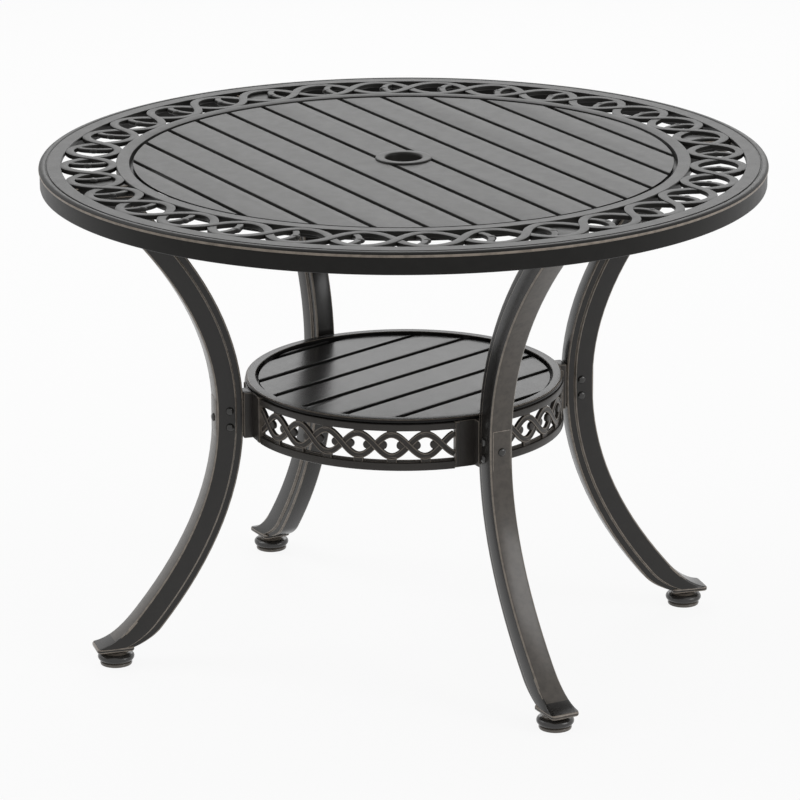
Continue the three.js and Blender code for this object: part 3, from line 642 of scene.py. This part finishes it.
class TABLE_OT_make_top_slats(bpy.types.Operator):
    """Models the thirteen slats of the top and the battens under them"""
    bl_idname = "table.make_top_slats"
    bl_label = "Top Slats"

    def execute(self, context):
        sizes = context.scene.table_top
        top = sizes.height - TOP_SLAT_RECESS * MM
        make_slats("top_slat", TOP_SLATS, sizes, TOP_SLAT_HEIGHT * MM, top, sizes.rounding,
                   TOP_SLAT_AZIMUTH, "textured_paint", hole=UMBRELLA_CUT * MM)
        make_battens("top_batten", *TOP_BATTENS, TOP_SLAT_AZIMUTH)
        return {"FINISHED"}


FLANGE_OUTLINE = [
    (26.6, 724.3), (26.6, 738.4), (26.9, 739.6), (27.8, 740.6), (29.2, 741.3), (31.0, 741.5), (38.6, 741.5),
    (40.2, 741.3), (41.2, 740.6), (41.6, 739.8), (41.6, 739.3), (28.3, 739.3), (28.3, 724.3),
]


class TABLE_OT_make_umbrella_flange(bpy.types.Operator):
    """Models the ring flange and collar of the umbrella hole"""
    bl_idname = "table.make_umbrella_flange"
    bl_label = "Umbrella Flange"

    def execute(self, context):
        ring = turn("flange", FLANGE_OUTLINE, FLANGE_STEPS)
        deliver(ring, "umbrella_ring", "textured_paint", ("umbrella_flange",), narrow=0)
        return {"FINISHED"}


# Shelf

SHELF_RING_OUTLINE = [
    (206.0, 395.6), (206.0, 397.8), (206.5, 398.2), (221.0, 398.2), (221.0, 410.2), (221.8, 411.0), (232.6, 411.0),
    (234.2, 410.7), (235.4, 409.9), (236.1, 408.8), (236.3, 407.6), (235.9, 406.5), (235.0, 406.0), (224.0, 406.0),
    (224.0, 395.2), (206.5, 395.2),
]
SHELF_RING_STEPS = 160
# Heights of the ring's upper outer round, where a thin painted highlight line is laid in bronze
SHELF_EDGE_HIGHLIGHT_HEIGHTS = (409.6, 411)
SHELF_SLATS = 8
SHELF_SLAT_AZIMUTH = 69.0
SHELF_SLAT_HEIGHT = 8.0
SHELF_SLAT_RECESS = 4.5
SHELF_SLAT_ROUNDING = 1.2
SHELF_BATTENS = (95, 174, 394.2, 398.2)


class TABLE_OT_make_shelf(bpy.types.Operator):
    """Models the shelf ring, its eight slats and the battens under them"""
    bl_idname = "table.make_shelf"
    bl_label = "Shelf"

    def execute(self, context):
        sizes = context.scene.table_shelf
        ring = turn("ring", SHELF_RING_OUTLINE, SHELF_RING_STEPS)
        deliver(ring, "shelf_band", "satin_paint", ("shelf_ring",), coat="shelf_gloss", between=SHELF_EDGE_HIGHLIGHT_HEIGHTS)
        top = sizes.height - SHELF_SLAT_RECESS * MM
        make_slats("shelf_slat", SHELF_SLATS, sizes, SHELF_SLAT_HEIGHT * MM, top, SHELF_SLAT_ROUNDING * MM,
                   SHELF_SLAT_AZIMUTH, "satin_paint", coat="shelf_gloss")
        make_battens("shelf_batten", *SHELF_BATTENS, SHELF_SLAT_AZIMUTH)
        return {"FINISHED"}


# Aprons and brackets

TOP_RAIL_OUTLINE = [
    (228.0, 394.6), (228.0, 403.4), (228.7, 404.0), (235.6, 404.0), (236.8, 403.6), (237.4, 402.6), (237.5, 401.4),
    (237.5, 395.6), (237.1, 394.6), (236.2, 394.0), (228.7, 394.0),
]
BOTTOM_RAIL_OUTLINE = [
    (228.0, 334.7), (228.0, 348.4), (228.7, 349.0), (231.4, 349.0), (231.8, 348.5), (231.8, 346.2), (232.3, 345.9),
    (236.1, 345.9), (237.1, 345.5), (237.5, 344.6), (237.5, 336.2), (237.1, 335.0), (236.1, 334.2), (235.1, 334.0),
    (228.7, 334.0),
]
APRON_SECTION = [
    (-2.9, -3.8), (-2.3, -4.5), (2.2, -4.5), (2.8, -4.2), (3.0, -3.6), (2.9, -2.9), (2.2, -2.4), (2.2, 2.4),
    (2.9, 2.9), (3.0, 3.6), (2.8, 4.2), (2.2, 4.5), (-2.3, 4.5), (-2.9, 3.8),
]
APRON_SPANS = {
    "right": (LEG_AZIMUTHS["front_right"], SIDE_SPAN), "back": (LEG_AZIMUTHS["back_right"], END_SPAN),
    "left": (LEG_AZIMUTHS["back_left"], SIDE_SPAN), "front": (LEG_AZIMUTHS["front_left"], END_SPAN),
}
APRON_START = 10.58
APRON_PITCH = 12.0
APRON_FIRST_EYE = 21.0
APRON_MIDDLE = 371.5
APRON_WAVE = 16.5
APRON_RADIUS = 232.6
APRON_WEAVE = 0.5
APRON_STEP = 6.0
RAIL_STEP = 1.5
BOSS_STEPS = 20
BOSS_PLACE = (231.6, 12.9)
WEB_BOX = ((229.4, 233.4), (13, 22.4), (-4.4, 4.4))
WEB_ROUNDING = 0.6
WEB_MIDDLE = (231.4, 17.7)
NECK_BOX = ((229.6, 235.0), (-7.2, 7.2), (-4.6, 4.6))
NECK_ROUNDING = 0.9
NECK_RISE = 5.0
BOSS_OUTLINE = [(0.0, -3.0), (5.6, -3.0), (6.2, -2.4), (6.2, 1.4), (5.8, 2.3), (4.9, 2.8), (3.0, 3.0), (0.0, 3.0)]


def apron_path(side, sweep):
    """A strand of the apron goes over one crossing and under the next on the panel's curve."""
    count = 4 * round(sweep / APRON_STEP)
    path = []
    for k in range(count):
        angle = APRON_START + (sweep - 2 * APRON_START) * k / (count - 1)
        phase = math.pi * (angle - APRON_FIRST_EYE) / APRON_PITCH
        height = APRON_MIDDLE + side * APRON_WAVE * math.cos(phase)
        radius = APRON_RADIUS + APRON_WEAVE * side * math.sin(phase)
        turned = math.radians(angle)
        path.append(Vector((radius * math.cos(turned), radius * math.sin(turned), height)) * MM)
    return path


def apron_eye():
    """The two bosses that draw an eye in to its waist, their webs, and the necks that join it to the rails."""
    parts = []
    for side in (-1, 1):
        boss = turn("boss", BOSS_OUTLINE, BOSS_STEPS, closed=False)
        swing(boss, 90, "Y")
        shift(boss, BOSS_PLACE[0], side * BOSS_PLACE[1], APRON_MIDDLE)
        web = block("web", *WEB_BOX, WEB_ROUNDING)
        shift(web, 0, 0, APRON_MIDDLE)
        # The web is modelled beside the second boss; the first boss gets it swung round the table's axis
        if side < 0:
            swing(web, -2 * math.degrees(math.atan2(WEB_MIDDLE[1], WEB_MIDDLE[0])))
        neck = block("neck", *NECK_BOX, NECK_ROUNDING)
        shift(neck, 0, 0, APRON_MIDDLE + side * (APRON_WAVE + NECK_RISE))
        parts += [boss, web, neck]
    return join("eye", parts)


class TABLE_OT_make_aprons(bpy.types.Operator):
    """Models the four pierced apron panels under the shelf"""
    bl_idname = "table.make_aprons"
    bl_label = "Aprons"

    def execute(self, context):
        for name, (azimuth, sweep) in APRON_SPANS.items():
            arc = sweep - 2 * APRON_START
            parts = []
            for outline in (TOP_RAIL_OUTLINE, BOTTOM_RAIL_OUTLINE):
                rail = turn("rail", outline, round(arc / RAIL_STEP), arc)
                swing(rail, APRON_START)
                parts.append(rail)
            for side in (-1, 1):
                parts.append(lay("strand", apron_path(side, sweep), APRON_SECTION, closed=False))
            eyes = round((sweep - 2 * APRON_FIRST_EYE) / APRON_PITCH) + 1
            for k in range(eyes):
                eye = apron_eye()
                swing(eye, APRON_FIRST_EYE + k * APRON_PITCH)
                parts.append(eye)
            panel = join("panel", parts)
            swing(panel, azimuth)
            # Narrow edges get bronze wear with a painted highlight
            deliver(panel, f"apron_panel_{name}", "dark_paint", (f"apron_{name}",), narrow=0.75)
        return {"FINISHED"}


BRACKET_OUTLINE = [
    (228.5, 336.6), (228.5, 405.1), (229.1, 405.7), (236.9, 405.7), (237.5, 405.1), (237.5, 336.6), (236.9, 336.0),
    (229.1, 336.0),
]
RIDGE_OUTLINE = [
    (236.5, 336.3), (236.5, 405.5), (238.6, 405.5), (239.3, 404.9), (239.5, 404.0), (239.5, 337.8), (239.3, 336.9),
    (238.6, 336.3),
]
BRACKET_HALF_ANGLE = 10.5
BRACKET_STEPS = 14
BRACKET_NECK = ((231.0, 250.2), (-14, 14), (336, 405.7))
BRACKET_TONGUE = ((240.0, 277.9), (-13, 13), (345, 393))
RIDGE_SWEEP = 1.45
RIDGE_STEPS = 3
RIDGE_SOFTNESS = 0.6


class TABLE_OT_make_brackets(bpy.types.Operator):
    """Models the four curved brackets with their ridges, necks and tongues"""
    bl_idname = "table.make_brackets"
    bl_label = "Brackets"

    def execute(self, context):
        for name, azimuth in LEG_AZIMUTHS.items():
            plate = turn("plate", BRACKET_OUTLINE, BRACKET_STEPS, 2 * BRACKET_HALF_ANGLE)
            swing(plate, -BRACKET_HALF_ANGLE)
            neck = block("neck", *BRACKET_NECK, rounding=1.4)
            tongue = block("tongue", *BRACKET_TONGUE, rounding=1.0)
            parts = [plate, neck, tongue]
            for start in (-BRACKET_HALF_ANGLE, BRACKET_HALF_ANGLE - RIDGE_SWEEP):
                ridge = soften(turn("ridge", RIDGE_OUTLINE, RIDGE_STEPS, RIDGE_SWEEP), RIDGE_SOFTNESS)
                swing(ridge, start)
                parts.append(ridge)
            bracket = join("bracket", parts)
            swing(bracket, azimuth)
            # Narrow edges get bronze wear with a painted highlight
            deliver(bracket, f"shelf_bracket_{name}", "dark_paint", (f"bracket_{name}",), narrow=1.3)
        return {"FINISHED"}


# Legs

LEG_TOP = 717.7
BRACKET_MIDDLE = 369.0
UPPER_START = 383.0
ANKLE_HEIGHT = 80.0
TOE = Vector((478.0, 0, 31.0))
HEEL = Vector((426.0, 0, 27.5))
TOE_DIRECTION = Vector((88, 0, -14))
HEEL_DIRECTION = Vector((52, 0, -14))
ANKLE_PULL_OUTER = 62.0
ANKLE_PULL_INNER = 46.0
SHOE_WIDENING = 0.2
SHOE_STATIONS = 10
LOWER_STATIONS = 16
UPPER_STATIONS = 20
LEG_OVERRUN = 12.0
MORTISE = ((244, 278.2), (-13.3, 13.3), (344.7, 393.3))
PAD = ((272, 292.7), (-14.6, 14.6), (337, 401))
LEG_FLANGE = ((374.3, 440), (-18.5, 18.5), (710.7, 717.7))
SHOE_LIP = ((424, 480), (-22.5, 22.5), (24, 31))
LIP_CORNER = 6.0
LIP_ROUNDING = 2.4
# Leg edges narrower than this get bronze wear with a painted highlight; the next value lays a painted bronze sheen on
# faces turned outwards
LEG_NARROW = 1.41
LEG_OUTWARD_BRONZE_AND_SHEEN = 0.26
LEG_SIDE = [
    (14.9, 0.0), (16.3, 0.3), (17.5, 1.0), (18.2, 2.2), (18.5, 3.6), (18.5, 27.0), (18.2, 28.2), (17.1, 28.9),
    (15.9, 29.3), (15.2, 30.4), (15.2, 38.3), (14.9, 39.6), (14.0, 40.6), (12.7, 41.0),
]


def leg_face(sizes, height):
    """Radius and slope of the leg's outer face: one bow above the bracket and another below."""
    waist, head, ankle = (value / MM for value in (sizes.waist, sizes.head, sizes.ankle))
    if height > UPPER_START:
        bow = (LEG_TOP - UPPER_START) ** 2 / (head - waist)
        return waist + (height - UPPER_START) ** 2 / bow, 2 * (height - UPPER_START) / bow
    if height < BRACKET_MIDDLE:
        bow = (BRACKET_MIDDLE - ANKLE_HEIGHT) ** 2 / (ankle - waist)
        return waist + (height - BRACKET_MIDDLE) ** 2 / bow, 2 * (height - BRACKET_MIDDLE) / bow
    return waist, 0.0


def flare(start, leaving, end, arriving, share):
    """A point on a smooth curve that leaves one point and arrives at another along given directions."""
    rest = 1 - share
    return (start * (rest * rest * (1 + 2 * share)) + leaving * (share * rest * rest)
            + end * (share * share * (3 - 2 * share)) - arriving * (share * share * rest))


def leg_stations(sizes):
    """Outer point, inner point and width share of each section from the shoe up."""
    depth = sizes.depth / MM

    def at(height):
        radius, slope = leg_face(sizes, height)
        lean = math.hypot(1, slope)
        return Vector((radius, 0, height)), Vector((radius - depth / lean, 0, height + depth * slope / lean)), 1.0

    ankle_outer, ankle_inner = at(ANKLE_HEIGHT)[:2]
    slope = leg_face(sizes, ANKLE_HEIGHT)[1]
    down = Vector((-slope, 0, -1)).normalized()
    stations = []
    for k in range(SHOE_STATIONS, 0, -1):
        share = k / SHOE_STATIONS
        outer = flare(ankle_outer, down * ANKLE_PULL_OUTER, TOE, TOE_DIRECTION, share)
        inner = flare(ankle_inner, down * ANKLE_PULL_INNER, HEEL, HEEL_DIRECTION, share)
        stations.append((outer, inner, 1 + SHOE_WIDENING * share * share))
    lower, upper = BRACKET_MIDDLE - ANKLE_HEIGHT, LEG_TOP + LEG_OVERRUN - UPPER_START
    heights = [ANKLE_HEIGHT + lower * k / LOWER_STATIONS for k in range(LOWER_STATIONS + 1)]
    heights += [UPPER_START + upper * k / UPPER_STATIONS for k in range(UPPER_STATIONS + 1)]
    return stations + [at(height) for height in heights]


def leg_bar(sizes):
    """Extrudes the leg's section from station to station, turning and scaling it on the way."""
    stations = leg_stations(sizes)
    facts = []
    for outer, inner, width in stations:
        reach = inner - outer
        facts.append((outer * MM, math.atan2(reach.z, -reach.x), reach.length / (sizes.depth / MM), width))
    side = [Vector((-depth, across, 0)) for across, depth in LEG_SIDE]
    outline = side + [Vector((corner.x, -corner.y, 0)) for corner in reversed(side)]
    start, angle, deep, wide = facts[0]
    bar = draw("leg", [corner * MM for corner in outline], filled=True)
    with editing(bar, "FACE"):
        bpy.ops.transform.resize(value=(deep, wide, 1), center_override=(0, 0, 0))
        bpy.ops.transform.rotate(value=-angle, orient_axis="Y", center_override=(0, 0, 0))
        bpy.ops.transform.translate(value=start)
        for before, after in zip(facts, facts[1:]):
            here = before[0]
            bpy.ops.mesh.extrude_region_move()
            bpy.ops.transform.rotate(value=before[1], orient_axis="Y", center_override=here)
            bpy.ops.transform.resize(value=(after[2] / before[2], after[3] / before[3], 1), center_override=here)
            bpy.ops.transform.rotate(value=-after[1], orient_axis="Y", center_override=here)
            bpy.ops.transform.translate(value=after[0] - here)
        bpy.ops.mesh.select_all(action="SELECT")
        bpy.ops.mesh.bisect(plane_co=(0, 0, LEG_TOP * MM), plane_no=(0, 0, 1), use_fill=True, clear_outer=True)
    outwards(bar)
    return bar


def shoe_lip():
    """The rolled lip under the leg's flared end."""
    lip = block("lip", *SHOE_LIP)
    with editing(lip, "EDGE"):
        pick("edges", lambda edge: abs((edge.verts[0].co - edge.verts[1].co).z) > 5 * MM)
        bpy.ops.mesh.bevel(offset=LIP_CORNER * MM, segments=6, affect="EDGES")
    return soften(lip, LIP_ROUNDING, segments=3, angle=50)


class TABLE_OT_make_legs(bpy.types.Operator):
    """Models one curved flared leg and copies it to the four corners"""
    bl_idname = "table.make_legs"
    bl_label = "Legs"

    def execute(self, context):
        sizes = context.scene.table_legs
        bar = leg_bar(sizes)
        carve(bar, block("mortise", *MORTISE))
        pad = block("pad", *PAD, rounding=1.0, segments=3)
        flange = block("flange", *LEG_FLANGE, rounding=1.2)
        leg = join("leg", [bar, pad, flange, shoe_lip()])
        for name, azimuth in LEG_AZIMUTHS.items():
            piece = twin(leg, "leg")
            swing(piece, azimuth)
            # Narrow edges get bronze wear with a painted highlight; outer faces get a painted bronze sheen
            deliver(piece, f"cast_leg_{name}", "satin_paint", (f"leg_{name}",), narrow=LEG_NARROW, outward_bronze_and_sheen=LEG_OUTWARD_BRONZE_AND_SHEEN)
        bpy.data.objects.remove(leg)
        return {"FINISHED"}


# Feet and fasteners

FOOT_OUTLINE = [
    (0.0, 0.0), (22.2, 0.0), (23.4, 0.6), (23.8, 1.8), (23.8, 3.2), (23.2, 4.4), (22.0, 5.0), (21.3, 5.5), (21.5, 6.2),
    (23.6, 6.9), (25.7, 8.2), (26.9, 10.1), (27.2, 12.2), (26.7, 14.4), (25.2, 16.3), (22.6, 17.6), (19.6, 18.1),
    (18.2, 18.8), (17.4, 20.0), (16.4, 21.0), (4.0, 21.0), (4.0, 38.7), (0.0, 38.7),
]
FOOT_STEPS = 56
FOOT_PLACE = 448.0
BOLT_STEPS = 28
SHANK = 2.9
SIDE_BOLT_LENGTH = 37.6
SIDE_BOLT_PLACE = 272.5
SIDE_BOLT_LEVELS = {"lower": 356.5, "upper": 381.5}
RADIAL_BOLT_LENGTH = 26.0
RADIAL_BOLT_PLACE = 293.0
TOP_BOLT_SHANK = 3.9
TOP_BOLT_LENGTH = 13.0
TOP_BOLT_SCALE = 7.0 / 6.0
TOP_BOLT_PLACE = (386.0, 710.4)
DOME = [(6.0, 0.0), (6.0, 0.7), (5.6, 1.5), (4.7, 2.3), (3.4, 2.9), (1.8, 3.2), (0.0, 3.3)]


class TABLE_OT_make_feet(bpy.types.Operator):
    """Models the levelling feet with their studs"""
    bl_idname = "table.make_feet"
    bl_label = "Levelling Feet"

    def execute(self, context):
        for name, azimuth in LEG_AZIMUTHS.items():
            foot = turn("foot", FOOT_OUTLINE, FOOT_STEPS, closed=False)
            shift(foot, FOOT_PLACE, 0, 0)
            swing(foot, azimuth)
            # The bun's narrow edges get a painted bronze highlight
            deliver(foot, f"foot_{name}_dressed", "foot_plastic", (f"levelling_foot_{name}",),
                    body=f"foot_{name}", narrow=1.6)
        return {"FINISHED"}


def domed_bolt(shank, reach, scale=1.0, through=False):
    """A bolt along Z with its head's underside at zero, and a second dome at the far end of a through bolt."""
    head = [(radius * scale, height) for radius, height in DOME]
    tail = [(radius, -reach - height) for radius, height in reversed(head)] if through else [(0.0, -reach)]
    return turn("bolt", [*tail, (shank, -reach), (shank, 0.0), *head], BOLT_STEPS, closed=False)


class TABLE_OT_make_bolts(bpy.types.Operator):
    """Models the domed bolts of legs, brackets and top"""
    bl_idname = "table.make_bolts"
    bl_label = "Bolts"

    def execute(self, context):
        for name, azimuth in LEG_AZIMUTHS.items():
            for level, height in SIDE_BOLT_LEVELS.items():
                bolt = domed_bolt(SHANK, SIDE_BOLT_LENGTH, through=True)
                shift(bolt, 0, 0, SIDE_BOLT_LENGTH / 2)
                swing(bolt, 90, "X")
                shift(bolt, SIDE_BOLT_PLACE, 0, height)
                self.place(bolt, azimuth, f"side_bolt_{level}_{name}")
            bolt = domed_bolt(SHANK, RADIAL_BOLT_LENGTH)
            swing(bolt, 90, "Y")
            shift(bolt, RADIAL_BOLT_PLACE, 0, BRACKET_MIDDLE)
            self.place(bolt, azimuth, f"radial_bolt_{name}")
            bolt = domed_bolt(TOP_BOLT_SHANK, TOP_BOLT_LENGTH, TOP_BOLT_SCALE)
            swing(bolt, 180, "X")
            shift(bolt, TOP_BOLT_PLACE[0], 0, TOP_BOLT_PLACE[1])
            self.place(bolt, azimuth, f"top_bolt_{name}")
        return {"FINISHED"}

    def place(self, bolt, azimuth, node):
        swing(bolt, azimuth)
        deliver(bolt, f"{node}_dressed", "bolt_paint", (node,), narrow=0, smooth=50)


# Stage

PHOTO_PIXELS = 800.0
FOCAL_PIXELS = 4266.0
CAMERA_PLACE = (2.3250, -5.6131, 2.2417)
CAMERA_PITCH = 0.29907
CAMERA_YAW = -0.00105
CAMERA_ROLL = -0.00363
PHOTO_AZIMUTH = 22.5
CAMERA_CLIP = 200.0
LAMPS = (
    ("key", (-3.2, -0.6, 3.4), 2.4, 46.0),
    ("side", (3.9, -0.3, 2.1), 2.0, 44.0),
    ("back", (-1.3, 3.9, 2.9), 3.2, 56.0),
)
LAMP_AIM = Vector((0, 0, 0.4))
WORLD_LEVEL = 0.50
FLOOR_SPAN = 60.0
FLOOR_COLOUR = (0.86, 0.86, 0.86, 1)
FLOOR_GLOW = 0.9
WHITE = (1, 1, 1, 1)


class TABLE_OT_make_stage(bpy.types.Operator):
    """Sets the pale floor, the soft light and the camera"""
    bl_idname = "table.make_stage"
    bl_label = "Stage"

    def execute(self, context):
        self.floor()
        self.world(context)
        for lamp in LAMPS:
            self.lamp(*lamp)
        self.camera(context)
        return {"FINISHED"}

    def floor(self):
        floor = begin("floor", bpy.ops.mesh.primitive_grid_add, x_subdivisions=4, y_subdivisions=4, size=FLOOR_SPAN)
        material = bpy.data.materials.new("pale_floor")
        material.use_nodes = True
        tree = material.node_tree
        shader = tree.nodes["Principled BSDF"]
        shader.inputs["Base Color"].default_value = FLOOR_COLOUR
        shader.inputs["Roughness"].default_value = 0.9
        shader.inputs["Specular IOR Level"].default_value = 0.0
        glow = tree.nodes.new("ShaderNodeEmission")
        path = tree.nodes.new("ShaderNodeLightPath")
        seen = combine(tree, "MAXIMUM", path.outputs["Is Camera Ray"], path.outputs["Is Glossy Ray"])
        mix = tree.nodes.new("ShaderNodeMixShader")
        tree.links.new(combine(tree, "MULTIPLY", seen, FLOOR_GLOW), mix.inputs[0])
        tree.links.new(shader.outputs[0], mix.inputs[1])
        tree.links.new(glow.outputs[0], mix.inputs[2])
        tree.links.new(mix.outputs[0], tree.nodes["Material Output"].inputs["Surface"])
        floor.data.materials.append(material)

    def world(self, context):
        world = bpy.data.worlds.new("studio")
        context.scene.world = world
        world.use_nodes = True
        tree = world.node_tree
        soft = tree.nodes["Background"]
        soft.inputs["Color"].default_value = WHITE
        soft.inputs["Strength"].default_value = WORLD_LEVEL
        white = tree.nodes.new("ShaderNodeBackground")
        white.inputs["Color"].default_value = WHITE
        path = tree.nodes.new("ShaderNodeLightPath")
        either = combine(tree, "MAXIMUM", path.outputs["Is Glossy Ray"], path.outputs["Is Transmission Ray"])
        seen = combine(tree, "MAXIMUM", path.outputs["Is Camera Ray"], either)
        mix = tree.nodes.new("ShaderNodeMixShader")
        tree.links.new(seen, mix.inputs[0])
        tree.links.new(soft.outputs[0], mix.inputs[1])
        tree.links.new(white.outputs[0], mix.inputs[2])
        tree.links.new(mix.outputs[0], tree.nodes["World Output"].inputs["Surface"])

    def lamp(self, name, place, size, power):
        lamp = begin(f"{name}_lamp", bpy.ops.object.light_add, type="AREA", location=place)
        lamp.data.energy = power
        lamp.data.size = size
        aim = LAMP_AIM - Vector(place)
        lamp.rotation_euler = aim.to_track_quat("-Z", "Y").to_euler()

    def camera(self, context):
        camera = begin("photo_camera", bpy.ops.object.camera_add)
        camera.data.lens = camera.data.sensor_width * FOCAL_PIXELS / PHOTO_PIXELS
        camera.data.clip_end = CAMERA_CLIP
        heading = Matrix.Rotation(math.radians(PHOTO_AZIMUTH) - CAMERA_YAW, 4, "Z")
        tilt = Matrix.Rotation(math.pi / 2 - CAMERA_PITCH, 4, "X")
        roll = Matrix.Rotation(CAMERA_ROLL, 4, "Z")
        camera.matrix_world = Matrix.Translation(CAMERA_PLACE) @ heading @ tilt @ roll
        context.scene.camera = camera
        context.scene.view_settings.view_transform = "Standard"


STEPS = (
    TABLE_OT_make_top_frame,
    TABLE_OT_make_top_slats,
    TABLE_OT_make_umbrella_flange,
    TABLE_OT_make_shelf,
    TABLE_OT_make_aprons,
    TABLE_OT_make_brackets,
    TABLE_OT_make_legs,
    TABLE_OT_make_feet,
    TABLE_OT_make_bolts,
    TABLE_OT_make_stage,
)
SETTINGS = {"table_top": TopSizes, "table_shelf": ShelfSizes, "table_legs": LegSizes, "table_colours": PaintColours}


class TABLE_PT_panel(bpy.types.Panel):
    """Lists the pieces of the table and the stage"""
    bl_idname = "TABLE_PT_panel"
    bl_label = "Umbrella Table"
    bl_space_type = "VIEW_3D"
    bl_region_type = "UI"
    bl_category = "Table"

    def draw(self, context):
        for step in STEPS:
            self.layout.operator(step.bl_idname)
        for name, settings in SETTINGS.items():
            box = self.layout.box()
            for prop in settings.__annotations__:
                box.prop(getattr(context.scene, name), prop)


def register():
    for kind in (*SETTINGS.values(), *STEPS, TABLE_PT_panel):
        bpy.utils.register_class(kind)
    for name, kind in SETTINGS.items():
        setattr(bpy.types.Scene, name, PointerProperty(type=kind))


def unregister():
    for name in SETTINGS:
        delattr(bpy.types.Scene, name)
    for kind in reversed((*SETTINGS.values(), *STEPS, TABLE_PT_panel)):
        bpy.utils.unregister_class(kind)


def main():
    register()
    for step in STEPS:
        family, action = step.bl_idname.split(".")
        getattr(getattr(bpy.ops, family), action)()


if __name__ == "__main__":
    main()
